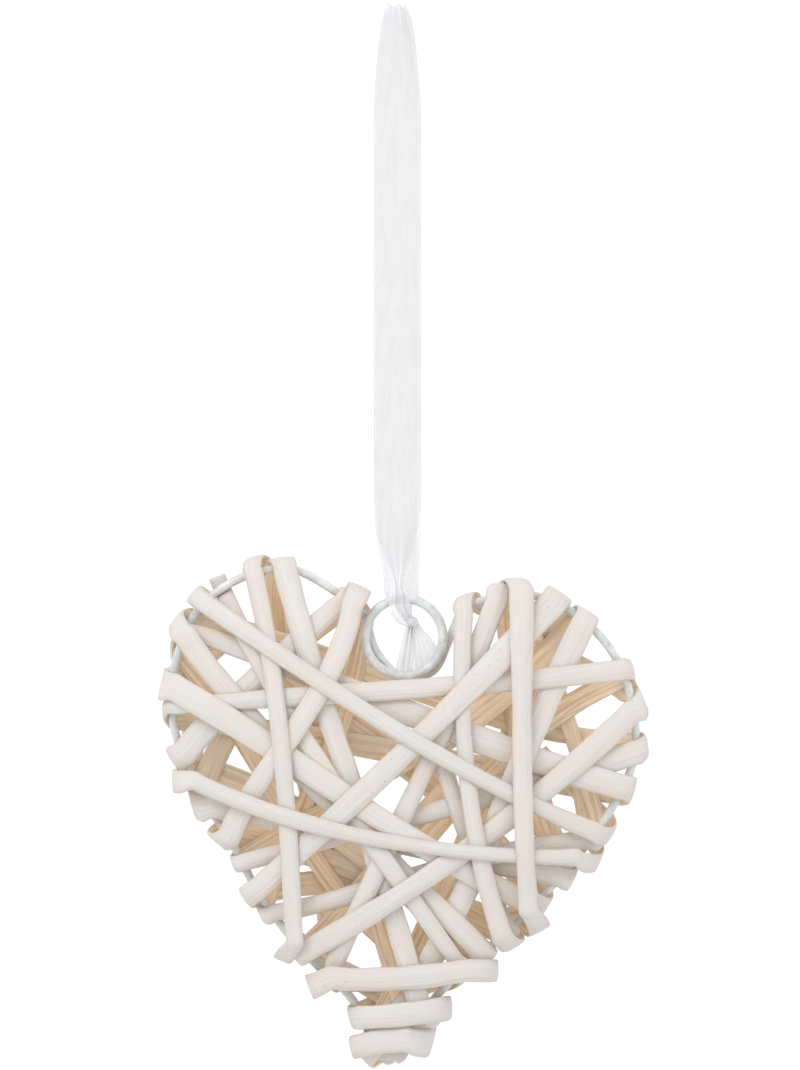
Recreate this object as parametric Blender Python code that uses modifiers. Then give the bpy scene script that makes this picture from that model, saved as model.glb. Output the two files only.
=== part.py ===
"""Wicker heart on a metal ring with a sheer hanging ribbon.

A wire bent to a heart carries nine split willow strips. Each strip crosses the front, folds round the wire,
crosses the back, and so on, so the weave is a hollow, plump heart. A ring stands in the notch between the lobes,
and a ribbon loop is knotted to it. The heart hangs from the top of that loop, which is the origin.
Z is up and the front faces -Y. All lengths are in metres.
"""

import math

import bmesh
import bpy
import numpy as np

# Sizes
HEART_WIDTH = 0.100
HANGING_DROP = 0.1314
RING_TO_LOOP_OFFSET = 0.00145
WIRE_RADIUS = 0.00088
RING_RADIUS = 0.00805
RING_WIRE_RADIUS = 0.00097
STRIP_WIDTH = 0.00415
STRIP_THICKNESS = 0.0005
PLUMPNESS = 0.0048
RIBBON_WIDTH = 0.010
RIBBON_THICKNESS = 0.0003
CLEARANCE = 0.0003
LAY_GAP = 0.0002

# How the strips bend
FOLD_LEAN = math.radians(20)
STIFF_REACH = 0.004
REST_REACH = 0.022
TURN_WIDTHS = 2.4
TURN_LIMIT = 0.4
SHARPEST_FOLD = 0.62
ALONG_WIRE = 0.25
FRONT_PULL = 0.6
LINE_PULL = 0.8
FACING_LEAST = 0.8
STEEPEST_SLANT = 1.1
BOW_SCALE = 27 / 4
HALF_THICK = 0.54 * STRIP_THICKNESS
FIRST_FOLD = 1.04 * (WIRE_RADIUS + CLEARANCE + STRIP_THICKNESS / 2)
STUB_DEPTH = 2.2 * WIRE_RADIUS

# How fine the model is
OUTLINE_STEPS = 24
PASS_STEP = 0.0085
FOLD_STEPS = 5
CELL = 0.00025
WIRE_SAG = 0.00008
LONGEST_WIRE_STEP = 0.006
DIRECTION_REACH = 4 * CELL
BEND_REACH = 6 * CELL
MARGIN = 0.12 * HEART_WIDTH
FORM_CELL = HEART_WIDTH / 100
SETTLE_GRID = (14, 11)
FOLD_GRID = (6, 7)
GROUND_ROWS = 54
GROUND_COLUMNS = 17
FOLD_ANGLES = 36
WIRE_ROWS = 7
RING_GRID = (240, 9)

# How the strips are settled
ROUNDS = 5
FORM_SWEEPS = 320
FORM_STEP = 1.94
BEND_TURNS = 30
LIFT_TURNS = 6
STACK_TURNS = 8
SEARCH_TURNS = 8
SOFT_HOLD = 40.0
FIRM_HOLD = 1e7
PRESS = 3e4
NEARLY = 1e-6

# The heart's outline from the notch's lowest point round by the right lobe and the tip, as shares of the width,
# across and up from the point under the ring
OUTLINE = (
    (0.0021, 0.0066), (0.0622, 0.0253), (0.0934, 0.0876), (0.1224, 0.1477),
    (0.1826, 0.1747), (0.2448, 0.183), (0.3154, 0.1643), (0.3838, 0.1187),
    (0.4398, 0.0502), (0.473, -0.0432), (0.4772, -0.1552), (0.4274, -0.2672),
    (0.3008, -0.429), (0.1743, -0.5535), (0.0809, -0.6365), (0.0083, -0.7299),
    (-0.0332, -0.7859), (-0.0705, -0.7154), (-0.1183, -0.6448), (-0.1971, -0.5701),
    (-0.2946, -0.4498), (-0.3485, -0.3481), (-0.4398, -0.1967), (-0.4793, -0.0784),
    (-0.473, 0.0419), (-0.4253, 0.1519), (-0.3382, 0.2162), (-0.2365, 0.2349),
    (-0.1473, 0.1913), (-0.0851, 0.1415), (-0.0581, 0.0647),
)

# The weave. Each row is one crossing of a strip: its side, its place in the order of laying, the shares of the
# outline where it starts and ends, its lean near each end as shares of its length, its width at the start, middle
# and end in strip widths, and the part of the way that it covers
WEAVE = {
    "willow_strip_1": (
        ("front", 12, 0.8476, 0.4178, -0.019, -0.007, 0.85, 1.0, 0.8, -0.028, 1.0),
        ("back", 13, 0.4314, 0.7957, 0.068, -0.01, 0.84, 0.87, 0.89, 0.0, 1.0),
        ("front", 6, 0.8124, 0.2625, 0.005, -0.01, 0.85, 1.3, 1.3, 0.0, 1.0),
        ("back", 15, 0.2655, 0.7534, 0.004, -0.011, 1.39, 1.18, 0.97, 0.0, 1.0),
        ("front", 13, 0.7625, 0.1851, 0.002, -0.006, 0.85, 1.0, 1.1, 0.0, 1.0),
        ("back", 7, 0.1902, 0.5712, -0.053, -0.006, 1.04, 1.04, 1.04, 0.0, 0.62),
    ),
    "willow_strip_2": (
        ("back", 8, 0.1842, 0.5832, -0.065, -0.006, 1.04, 1.04, 1.04, 0.5, 1.0),
        ("front", 16, 0.5832, 0.2125, -0.017, -0.019, 1.1, 1.1, 1.2, 0.0, 1.0),
        ("back", 24, 0.2002, 0.0718, 0.013, 0.0, 1.14, 0.99, 0.85, 0.0, 1.0),
        ("front", 17, 0.0623, 0.3848, -0.025, -0.033, 0.9, 0.85, 1.1, 0.0, 1.0),
        ("back", 25, 0.3793, 0.6297, -0.042, -0.064, 1.28, 1.28, 1.28, 0.0, 1.0),
        ("front", 18, 0.6327, 0.1224, -0.005, -0.006, 1.1, 1.2, 1.35, 0.0, 1.0),
        ("back", 20, 0.1243, 0.5172, 0.021, 0.016, 1.36, 1.1, 0.84, 0.0, 1.0),
        ("front", 1, 0.5018, 0.4858, 0.0, 0.0, 0.8, 0.8, 0.8, 0.0, 1.0),
        ("back", 1, 0.472, 0.873, -0.008, -0.007, 0.76, 0.76, 0.76, 0.0, 0.25),
    ),
    "willow_strip_3": (
        ("back", 31, 0.472, 0.879, -0.008, -0.007, 0.9, 0.9, 0.9, 0.15, 1.0),
        ("front", 19, 0.8702, 0.5917, 0.019, 0.009, 0.95, 0.9, 0.9, 0.0, 1.0),
        ("back", 28, 0.59, 0.4669, -0.012, 0.057, 0.93, 1.1, 1.27, 0.0, 1.0),
        ("front", 24, 0.4744, 0.5098, -0.003, -0.002, 1.25, 1.25, 1.25, 0.0, 1.0),
        ("back", 22, 0.5078, 0.4556, 0.0, 0.0, 1.19, 1.19, 1.19, 0.0, 0.55),
    ),
    "willow_strip_4": (
        ("front", 4, 0.0055, 0.3786, 0.001, -0.024, 0.8, 0.9, 0.8, 0.15, 1.0),
        ("back", 23, 0.3853, 0.6747, -0.024, -0.015, 1.0, 1.19, 1.38, 0.0, 1.0),
        ("front", 15, 0.6706, 0.9398, 0.01, -0.048, 1.2, 1.1, 1.1, 0.0, 1.0),
        ("back", 17, 0.9378, 0.7046, -0.052, -0.044, 1.2, 1.2, 1.2, 0.0, 1.0),
        ("front", 2, 0.6933, 0.3324, 0.005, -0.005, 1.1, 0.8, 1.0, 0.0, 1.0),
        ("back", 2, 0.3272, 0.1004, 0.05, 0.021, 1.35, 1.35, 1.35, 0.0, 0.5),
    ),
    "willow_strip_5": (
        ("back", 12, 0.3242, 0.0914, 0.05, 0.021, 1.14, 1.14, 1.14, 0.38, 1.0),
        ("front", 22, 0.1012, 0.3617, -0.002, -0.01, 1.2, 1.0, 1.0, 0.0, 1.0),
        ("back", 27, 0.3695, 0.5541, -0.035, 0.07, 1.19, 1.14, 1.09, 0.0, 1.0),
        ("front", 11, 0.5609, 0.0861, 0.002, -0.01, 0.9, 1.0, 1.1, 0.0, 1.0),
        ("back", 9, 0.093, 0.2917, 0.034, 0.013, 0.96, 0.87, 0.77, 0.0, 1.0),
        ("front", 5, 0.3022, 0.6145, -0.027, 0.006, 0.9, 1.0, 0.9, 0.0, 1.0),
        ("back", 4, 0.6223, 0.9385, -0.021, -0.027, 0.85, 0.85, 0.85, 0.0, 0.5),
    ),
    "willow_strip_6": (
        ("back", 6, 0.6223, 0.9505, -0.021, -0.027, 1.04, 1.04, 1.04, 0.38, 1.0),
        ("front", 8, 0.9343, 0.7309, -0.007, -0.017, 1.1, 1.15, 1.25, 0.0, 1.0),
        ("back", 18, 0.7244, 0.4039, 0.051, 0.015, 1.19, 1.17, 1.14, 0.0, 1.0),
        ("front", 9, 0.4009, 0.8093, 0.0, 0.022, 1.2, 1.05, 1.2, 0.0, 1.0),
        ("back", 14, 0.8202, 0.2318, 0.014, -0.04, 0.98, 0.98, 0.98, 0.0, 1.0),
        ("front", 3, 0.239, 0.6522, 0.007, -0.001, 1.2, 1.0, 0.9, 0.0, 1.0),
        ("back", 3, 0.6552, 0.1428, -0.015, -0.041, 0.85, 0.85, 0.85, 0.0, 0.62),
    ),
    "willow_strip_7": (
        ("back", 5, 0.6552, 0.1428, -0.015, -0.041, 1.35, 1.35, 1.35, 0.5, 1.0),
        ("front", 7, 0.146, 0.5079, -0.004, 0.027, 1.25, 1.2, 1.1, 0.0, 1.0),
        ("back", 21, 0.5022, 0.468, 0.0, 0.0, 1.04, 1.09, 1.14, 0.0, 1.0),
        ("front", 10, 0.4574, 0.8904, -0.01, 0.008, 1.2, 1.1, 1.25, 0.0, 1.0),
        ("back", 30, 0.8864, 0.56, -0.027, 0.035, 1.43, 1.41, 1.38, 0.0, 1.0),
        ("front", 23, 0.56, 0.4164, -0.018, -0.018, 1.2, 1.2, 1.1, 0.0, 1.0),
        ("back", 32, 0.4193, 0.5287, 0.0, 0.0, 1.04, 1.06, 1.09, 0.0, 1.0),
        ("front", 25, 0.5274, 0.4525, -0.006, -0.006, 1.15, 1.2, 1.2, 0.0, 1.0),
        ("back", 29, 0.4556, 0.5078, 0.0, 0.0, 1.14, 1.14, 1.14, 0.0, 0.6),
    ),
    "willow_strip_8": (
        ("back", 16, 0.901, 0.7791, 0.0, 0.0, 1.33, 1.33, 1.33, 0.45, 1.0),
        ("front", 14, 0.7751, 0.3563, 0.007, -0.017, 1.4, 1.2, 1.2, 0.0, 1.0),
        ("back", 26, 0.3516, 0.8335, -0.034, 0.011, 1.38, 1.28, 1.19, 0.0, 1.0),
        ("front", 21, 0.8333, 0.296, -0.011, -0.02, 1.0, 0.85, 0.95, 0.0, 1.0),
        ("back", 11, 0.2858, 0.032, 0.0, 0.0, 0.9, 0.9, 0.9, 0.0, 0.4),
    ),
    "willow_strip_9": (
        ("back", 19, 0.826, 0.7182, 0.0, 0.0, 1.11, 1.11, 1.11, 0.38, 1.0),
        ("front", 20, 0.7135, 0.3158, -0.036, -0.025, 1.0, 0.75, 0.85, 0.0, 1.0),
        ("back", 10, 0.3025, 0.117, 0.0, 0.0, 0.81, 0.81, 0.81, 0.0, 0.32),
    ),
}

COLOURS = {
    "wire": (0.78, 0.78, 0.75, 1),
    "willow": (0.78, 0.70, 0.62, 1),
    "ribbon": (0.80, 0.79, 0.84, 1),
}


def smooth(x):
    """A step from 0 to 1 that starts and ends level."""
    x = np.clip(x, 0, 1)
    return x * x * (3 - 2 * x)


def closed_curve(points, steps):
    """A smooth closed curve through the points, by the centripetal rule."""
    pts = np.array(points, float)
    n = len(pts)
    out = []
    for i in range(n):
        p0, p1, p2, p3 = (pts[(i + k - 1) % n] for k in range(4))
        t1 = np.linalg.norm(p1 - p0) ** 0.5
        t2 = t1 + np.linalg.norm(p2 - p1) ** 0.5
        t3 = t2 + np.linalg.norm(p3 - p2) ** 0.5
        for k in range(steps):
            t = t1 + (t2 - t1) * k / steps
            a1 = (t1 - t) / t1 * p0 + t / t1 * p1
            a2 = (t2 - t) / (t2 - t1) * p1 + (t - t1) / (t2 - t1) * p2
            a3 = (t3 - t) / (t3 - t2) * p2 + (t - t2) / (t3 - t2) * p3
            b1 = (t2 - t) / t2 * a1 + t / t2 * a2
            b2 = (t3 - t) / (t3 - t1) * a2 + (t - t1) / (t3 - t1) * a3
            out.append((t2 - t) / (t2 - t1) * b1 + (t - t1) / (t2 - t1) * b2)
    return np.array(out)


class Outline:
    """The wire's centre line in the XZ plane, read by the distance along it."""

    def __init__(self, points):
        self.points = points
        self.closed = np.vstack([points, points[:1]])
        step = np.linalg.norm(np.diff(self.closed, axis=0), axis=1)
        self.along = np.concatenate([[0], np.cumsum(step)])
        self.length = self.along[-1]

    def at(self, u):
        """The points at the distances u."""
        u = np.mod(u, self.length)
        return np.stack([np.interp(u, self.along, self.closed[:, k]) for k in range(2)], -1)

    def direction(self, u):
        """The wire's direction at the distances u."""
        d = self.at(np.asarray(u) + DIRECTION_REACH) - self.at(np.asarray(u) - DIRECTION_REACH)
        return d / np.linalg.norm(d, axis=-1, keepdims=True)

    def outward(self, u):
        """The direction out of the heart at the distances u."""
        d = self.direction(u)
        return np.stack([-d[..., 1], d[..., 0]], -1)


def hull(points):
    """The points of the convex hull of a set of points, in order."""
    pts = sorted(map(tuple, points))
    sides = []
    for row in (pts, pts[::-1]):
        chain = []
        for p in row:
            while len(chain) > 1:
                a, b = chain[-2], chain[-1]
                if (b[0] - a[0]) * (p[1] - a[1]) - (b[1] - a[1]) * (p[0] - a[0]) > 0:
                    break
                chain.pop()
            chain.append(p)
        sides += chain[:-1]
    return np.array(sides)


def inside(x, z, polygon):
    """Whether each point lies in the polygon."""
    result = np.zeros(x.shape, bool)
    for a, b in zip(polygon, np.roll(polygon, -1, axis=0)):
        crosses = (a[1] > z) != (b[1] > z)
        if a[1] != b[1]:
            result ^= crosses & (x < a[0] + (z - a[1]) / (b[1] - a[1]) * (b[0] - a[0]))
    return result


class Field:
    """A height for each cell of a grid in the XZ plane."""

    def __init__(self, low, high, cell, value=0.0):
        self.low = np.array(low)
        self.cell = cell
        self.shape = tuple(int(math.ceil((high[k] - low[k]) / cell)) + 1 for k in range(2))
        self.data = np.full(self.shape, value)

    def index(self, points):
        place = np.rint((points - self.low) / self.cell).astype(int)
        return tuple(np.clip(place[..., k], 0, self.shape[k] - 1) for k in range(2))

    def raise_to(self, points, heights):
        """Lifts the cells under the points to at least the heights."""
        i, j = self.index(points)
        np.maximum.at(self.data, (i.ravel(), j.ravel()), heights.ravel())

    def highest_near(self, points):
        """The highest value in and around the cell under each point."""
        wide = self.data
        for axis in range(2):
            wide = np.maximum(wide, np.maximum(np.roll(wide, 1, axis), np.roll(wide, -1, axis)))
        return wide[self.index(points)]

    def read(self, points):
        """The heights at the points, between the cells' centres."""
        place = np.clip((points - self.low) / self.cell, 0, np.array(self.shape) - 1 - NEARLY)
        base = place.astype(int)
        part = place - base
        i, j = base[..., 0], base[..., 1]
        fi, fj = part[..., 0], part[..., 1]
        d = self.data
        near = d[i, j] * (1 - fi) + d[i + 1, j] * fi
        far = d[i, j + 1] * (1 - fi) + d[i + 1, j + 1] * fi
        return near * (1 - fj) + far * fj


def plump_form(outline):
    """The heart's swelling as a stretched skin under pressure, held at the outline's hull."""
    edge = hull(outline.points)
    form = Field(edge.min(0) - MARGIN, edge.max(0) + MARGIN, FORM_CELL)
    x = form.low[0] + np.arange(form.shape[0])[:, None] * FORM_CELL + np.zeros(form.shape)
    z = form.low[1] + np.arange(form.shape[1])[None, :] * FORM_CELL + np.zeros(form.shape)
    free = inside(x, z, edge)
    checker = (np.indices(form.shape).sum(0) % 2).astype(bool)
    d = form.data
    for _ in range(FORM_SWEEPS):
        for colour in (checker, ~checker):
            around = np.roll(d, 1, 0) + np.roll(d, -1, 0) + np.roll(d, 1, 1) + np.roll(d, -1, 1)
            target = (around + 1.0) / 4
            use = free & colour
            d[use] += FORM_STEP * (target[use] - d[use])
    form.data = d / d.max() * PLUMPNESS
    return form


def crossing(outline, form, row, step):
    """The plan of one crossing: where its left and right edges run, seen from outside."""
    side, layer, start, end, lean_1, lean_2, w1, w2, w3, first, last = row
    u1, u2 = start * outline.length, end * outline.length
    a, b = outline.at(u1), outline.at(u2)
    chord = b - a
    length = np.linalg.norm(chord)
    count = max(3, int(round(length * (last - first) / step)))
    if first < 0:
        count *= 2
    t = np.linspace(first, last, count + 1)
    along = chord / length
    across = np.array([-along[1], along[0]])
    bow = BOW_SCALE * (lean_1 * t * (1 - t) ** 2 + lean_2 * t * t * (1 - t))
    slope = BOW_SCALE * (lean_1 * (1 - t) * (1 - 3 * t) + lean_2 * t * (2 - 3 * t))
    centre = a + t[:, None] * chord + (bow * length)[:, None] * across
    heading = along + slope[:, None] * across
    heading /= np.linalg.norm(heading, axis=1, keepdims=True)
    sign = -1 if side == "front" else 1
    right = np.stack([-sign * heading[:, 1], sign * heading[:, 0]], 1)
    width = STRIP_WIDTH * (w1 * (1 - t) * (1 - 2 * t) + 4 * w2 * t * (1 - t) + w3 * t * (2 * t - 1))
    cross = right.copy()
    half = width / 2
    for u, s, near in ((u1, first, t), (u2, 1 - last, 1 - t)):
        if s != 0:
            continue
        wire = outline.direction(u)
        end_index = 0 if near is t else -1
        if wire @ right[end_index] < 0:
            wire = -wire
        line = ALONG_WIRE * wire + (1 - ALONG_WIRE) * right[end_index]
        reach = min(TURN_WIDTHS * STRIP_WIDTH, TURN_LIMIT * length) / length
        turn = smooth(1 - near / reach)[:, None]
        cross = cross * (1 - turn) + line / np.linalg.norm(line) * turn
    cross /= np.linalg.norm(cross, axis=1, keepdims=True)
    lean = np.abs(cross[:, 0] * heading[:, 1] - cross[:, 1] * heading[:, 0])
    half = half / np.maximum(lean, SHARPEST_FOLD)
    left_edge, right_edge = centre - cross * half[:, None], centre + cross * half[:, None]
    ends = []
    for u, s, k in ((u1, first, 0), (u2, 1 - last, -1)):
        if s != 0:
            ends.append(None)
            continue
        wire = outline.direction(u)
        slant = (heading[k] @ wire) / (heading[k] @ outline.outward(u))
        ends.append(
            {
                "u": u,
                "half": half[k],
                "slant": min(STEEPEST_SLANT, max(-STEEPEST_SLANT, slant)),
                "line": cross[k],
                "edges": (left_edge[k], right_edge[k]),
            }
        )
    swell = np.stack([form.read(left_edge), form.read(right_edge)], 1)
    for end, k in zip(ends, (0, -1)):
        if end:
            swell[k] = swell[k].mean()
    return {
        "side": side,
        "layer": layer,
        "left": left_edge,
        "right": right_edge,
        "centre": centre,
        "swell": swell,
        "ends": ends,
        "lift": np.zeros(count + 1),
        "behind": first < 0,
    }


def samples(left, right, rows, columns):
    """Points spread over the strip between two lines of edge points, with the weights of the stations."""
    n = len(left)
    k = np.append(np.repeat(np.arange(n - 1), rows), n - 2)
    f = np.append(np.tile(np.arange(rows) / rows, n - 1), 1.0)
    weights = np.zeros((len(k), n))
    weights[np.arange(len(k)), k] = 1 - f
    weights[np.arange(len(k)), k + 1] = f
    v = np.linspace(0, 1, columns)[:, None]
    points = (weights @ left)[:, None] * (1 - v) + (weights @ right)[:, None] * v
    return points, weights


def bend(cross, needs, weights, held, least):
    """The lifts of the stations above the plump form, as a springy strip that clears what lies under it."""
    n = len(cross["lift"])
    centre = cross["centre"]
    step = np.linalg.norm(np.diff(centre, axis=0), axis=1).mean()
    first = np.diff(np.eye(n), axis=0) / step
    second = np.diff(np.eye(n), 2, axis=0) / step**2
    rest = WIRE_RADIUS + CLEARANCE + STRIP_THICKNESS / 2
    stiff = step * (STIFF_REACH**2 * second.T @ second + first.T @ first + np.eye(n) / REST_REACH**2)
    pull = step / REST_REACH**2 * np.full(n, rest)
    rows, values = [weights], [needs]
    for k, value in least:
        rows.append(np.eye(n)[k : k + 1])
        values.append(np.array([value]))
        stiff[k, k] += SOFT_HOLD
        pull[k] += SOFT_HOLD * value
    for k, value in held:
        stiff[k, k] += FIRM_HOLD
        pull[k] += FIRM_HOLD * value
    rows, values = np.vstack(rows), np.concatenate(values)
    lift = np.linalg.solve(stiff, pull)
    for _ in range(BEND_TURNS):
        short = rows @ lift < values - NEARLY / 10
        pressed = PRESS * rows[short].T
        new = np.linalg.solve(stiff + pressed @ rows[short], pull + pressed @ values[short])
        if np.abs(new - lift).max() < NEARLY / 100:
            break
        lift = new
    fixed = {k for k, _ in held}
    for _ in range(LIFT_TURNS):
        short = values - rows @ lift
        if short.max() < NEARLY:
            break
        for k in range(n):
            touched = rows[:, k] > 1 / 3
            if k not in fixed and touched.any():
                lift[k] += max(0.0, short[touched].max())
        short = values - rows @ lift
    return lift, float(max(0.0, (values - rows @ lift).max()))


def heights(cross):
    """The heights of the left and right edges above the wire's plane."""
    return cross["lift"][:, None] + cross["swell"]


def beside(outline, plan, u):
    """The places along the wire beside plan points, and how far out of the heart the points lie. The search starts
    at u and goes half of the way in each turn."""
    for _ in range(SEARCH_TURNS):
        u = u + ((plan - outline.at(u)) * outline.direction(u)).sum(-1) / 2
    return u, ((plan - outline.at(u)) * outline.outward(u)).sum(-1)


def fold_points(outline, fold, steps):
    """The left and right edge points of a fold round the wire, as plan points and heights to the front, with the
    ends' and the brink's edge points."""
    angle = np.linspace(FOLD_LEAN, math.pi - FOLD_LEAN, steps + 1)
    share = ((angle - FOLD_LEAN) / (math.pi - 2 * FOLD_LEAN))[:, None]
    rise = np.where(angle < math.pi / 2, fold["front"], fold["back"]) * np.cos(angle)
    pull = np.array([FRONT_PULL, 1 - FRONT_PULL])
    line = np.array([LINE_PULL, 1 - LINE_PULL]) @ fold["line"]
    line = line / np.linalg.norm(line)
    half = sum(fold["half"]) / 2
    reach = fold["out"] + half * abs(line @ outline.outward(pull @ fold["u"]))
    u = pull @ (fold["u"] + fold["slant"] * reach)
    middle = outline.at(u) + reach * outline.outward(u)
    edges, brinks = [], []
    for k, way in enumerate((-1, 1)):
        a, b = fold["edges"][0][k], fold["edges"][1][k]
        brink = middle + way * half * line
        plan = a * (1 - share) + b * share + np.sin(angle)[:, None] * (brink - (a + b) / 2)
        edges.append(np.column_stack([plan, rise]))
        brinks.append((a, brink, b))
    return edges, share[:, 0], brinks, u


def fold_samples(outline, fold, steps, offset):
    """Points spread over the fold's outer or inner face, with their places round the wire."""
    (left, right), share, brinks, u = fold_points(outline, fold, steps)
    points, weights = samples(left, right, *FOLD_GRID)
    along, away = beside(outline, points[..., :2], np.full(points.shape[:2], u))
    v = np.linspace(0, 1, FOLD_GRID[1])[:, None]
    marks = [a * (1 - v) + b * v for a, b in zip(*brinks)]
    front, brink, back = (beside(outline, mark, np.full(len(v), u))[1] for mark in marks)
    turned = (weights @ share)[:, None]
    centre = front * (1 - turned) + back * turned
    wide = np.maximum(brink - centre, WIRE_RADIUS)
    height = points[..., 2]
    steep = wide**2 / np.where(height > 0, fold["front"], fold["back"]) ** 2 * height
    slant = np.hypot(away - centre, steep)
    height = height + offset * steep / slant
    away = away + offset * (away - centre) / slant
    return {
        "plan": outline.at(along) + away[..., None] * outline.outward(along),
        "height": height,
        "radius": np.hypot(away, height),
        "along": along,
        "angle": np.arctan2(away, height),
        "facing": steep / slant,
    }


class Weave:
    """All crossings and folds, settled so that no strip touches another."""

    def __init__(self, outline, step, fold_steps):
        self.outline = outline
        self.form = plump_form(outline)
        self.fold_steps = fold_steps
        self.strips = {}
        self.folds = []
        for name, rows in WEAVE.items():
            chain = [crossing(outline, self.form, row, step) for row in rows]
            folds = []
            for one, two in zip(chain, chain[1:]):
                a, b = one["ends"][1], two["ends"][0]
                ahead, behind = (a, b) if one["side"] == "front" else (b, a)
                total = outline.length
                there = behind["u"] + round((ahead["u"] - behind["u"]) / total) * total
                fold = {
                    "u": np.array([ahead["u"], there]),
                    "half": (ahead["half"], behind["half"]),
                    "slant": np.array([ahead["slant"], behind["slant"]]),
                    "line": np.array([ahead["line"], behind["line"]]),
                    "edges": (ahead["edges"], behind["edges"]),
                    "front": FIRST_FOLD,
                    "out": FIRST_FOLD,
                    "back": FIRST_FOLD,
                    "least": {"front": FIRST_FOLD, "back": FIRST_FOLD},
                    "to_back": one["side"] == "front",
                    "rank": (one if one["side"] == "front" else two)["layer"],
                }
                a["fold"], b["fold"] = fold, fold
                folds.append(fold)
            self.strips[name] = (chain, folds)
            self.folds += folds
        self.crossings = [c for chain, _ in self.strips.values() for c in chain]

    def lay(self, side, obstacle, settle_ends):
        """Lays the crossings of one side in their order and returns how far any is short of room."""
        low, high = self.outline.points.min(0) - MARGIN, self.outline.points.max(0) + MARGIN
        ground = Field(low, high, CELL, CLEARANCE / 2)
        u = np.arange(0, self.outline.length, CELL)
        for part in np.linspace(-1, 1, WIRE_ROWS):
            near = self.outline.at(u) + part * WIRE_RADIUS * self.outline.outward(u)
            ground.raise_to(near, np.full(len(u), WIRE_RADIUS * math.sqrt(1 - part * part)))
        if obstacle is not None:
            ground.raise_to(*obstacle)
        if side == "back":
            for c in self.crossings:
                if c["behind"]:
                    self.lay_down(ground, c, [0, 1, 2, 3], -1)
        worst = 0.0
        for c in sorted((c for c in self.crossings if c["side"] == side), key=lambda c: c["layer"]):
            before = Field(low, high, CELL)
            before.data = ground.data.copy()
            worst = max(worst, self.settle(c, before, side, settle_ends))
            self.lay_down(ground, c, range(len(c["lift"])), 1)
            for end in c["ends"]:
                if end and "fold" in end:
                    worst = max(worst, self.clear_fold(end["fold"], before, side, settle_ends))
            for end in c["ends"]:
                if end and "fold" in end:
                    face = fold_samples(self.outline, end["fold"], self.fold_steps, STRIP_THICKNESS / 2)
                    height = face["height"] * (1 if side == "front" else -1)
                    use = height > 0
                    ground.raise_to(face["plan"][use], height[use])
        return worst

    def lay_down(self, ground, c, stations, sign):
        """Raises the ground to the outer face of a crossing."""
        level = heights(c)
        keep = list(stations)
        left = np.column_stack([c["left"], level[:, 0]])[keep]
        right = np.column_stack([c["right"], level[:, 1]])[keep]
        points, _ = samples(left, right, GROUND_ROWS, GROUND_COLUMNS)
        ground.raise_to(points[..., :2], sign * points[..., 2] + HALF_THICK)

    def settle(self, c, ground, side, settle_ends):
        """Finds the lifts of one crossing."""
        left = np.column_stack([c["left"], c["swell"][:, 0]])
        right = np.column_stack([c["right"], c["swell"][:, 1]])
        points, weights = samples(left, right, *SETTLE_GRID)
        wanted = ground.highest_near(points[..., :2]) + LAY_GAP + HALF_THICK - points[..., 2]
        needs = wanted.max(1)
        n = len(c["lift"])
        held, least = [], []
        if c["behind"]:
            stub = [k for k in range(n // 2) if self.depth(c["centre"][k]) < STUB_DEPTH]
            for k in stub:
                held.append((k, -FIRST_FOLD - c["swell"][k].mean()))
            free = weights[:, stub].sum(1) < NEARLY
            weights, needs = weights[free], needs[free]
        for end, k in zip(c["ends"], (0, n - 1)):
            if not end or "fold" not in end:
                continue
            swell = c["swell"][k].mean()
            if settle_ends:
                least.append((k, end["fold"]["least"][side] / math.cos(FOLD_LEAN) - swell))
            else:
                held.append((k, end["fold"][side] / math.cos(FOLD_LEAN) - swell))
        c["lift"], short = bend(c, needs, weights, held, least)
        if settle_ends:
            for end, k in zip(c["ends"], (0, n - 1)):
                if end and "fold" in end:
                    level = c["lift"][k] + c["swell"][k].mean()
                    end["fold"][side] = max(end["fold"]["least"][side], level * math.cos(FOLD_LEAN))
        return short

    def depth(self, point):
        """How far a plan point lies inside the wire's line."""
        gap = self.outline.points - point
        distance = np.linalg.norm(gap, axis=1).min()
        inside_it = inside(np.array([point[0]]), np.array([point[1]]), self.outline.points)[0]
        return distance if inside_it else -distance

    def clear_fold(self, fold, ground, side, settle_ends):
        """Widens a fold where it comes too near what lies under it on one side."""
        face = fold_samples(self.outline, fold, self.fold_steps, -STRIP_THICKNESS / 2)
        sign = 1 if side == "front" else -1
        use = face["facing"] * sign > FACING_LEAST
        if not use.any():
            return 0.0
        gap = ground.highest_near(face["plan"][use]) + LAY_GAP - face["height"][use] * sign
        short = float(max(0.0, gap.max()))
        if settle_ends and short > 0:
            fold["least"][side] = max(fold["least"][side], fold[side]) + short
            fold[side] = fold["least"][side]
        return short

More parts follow.
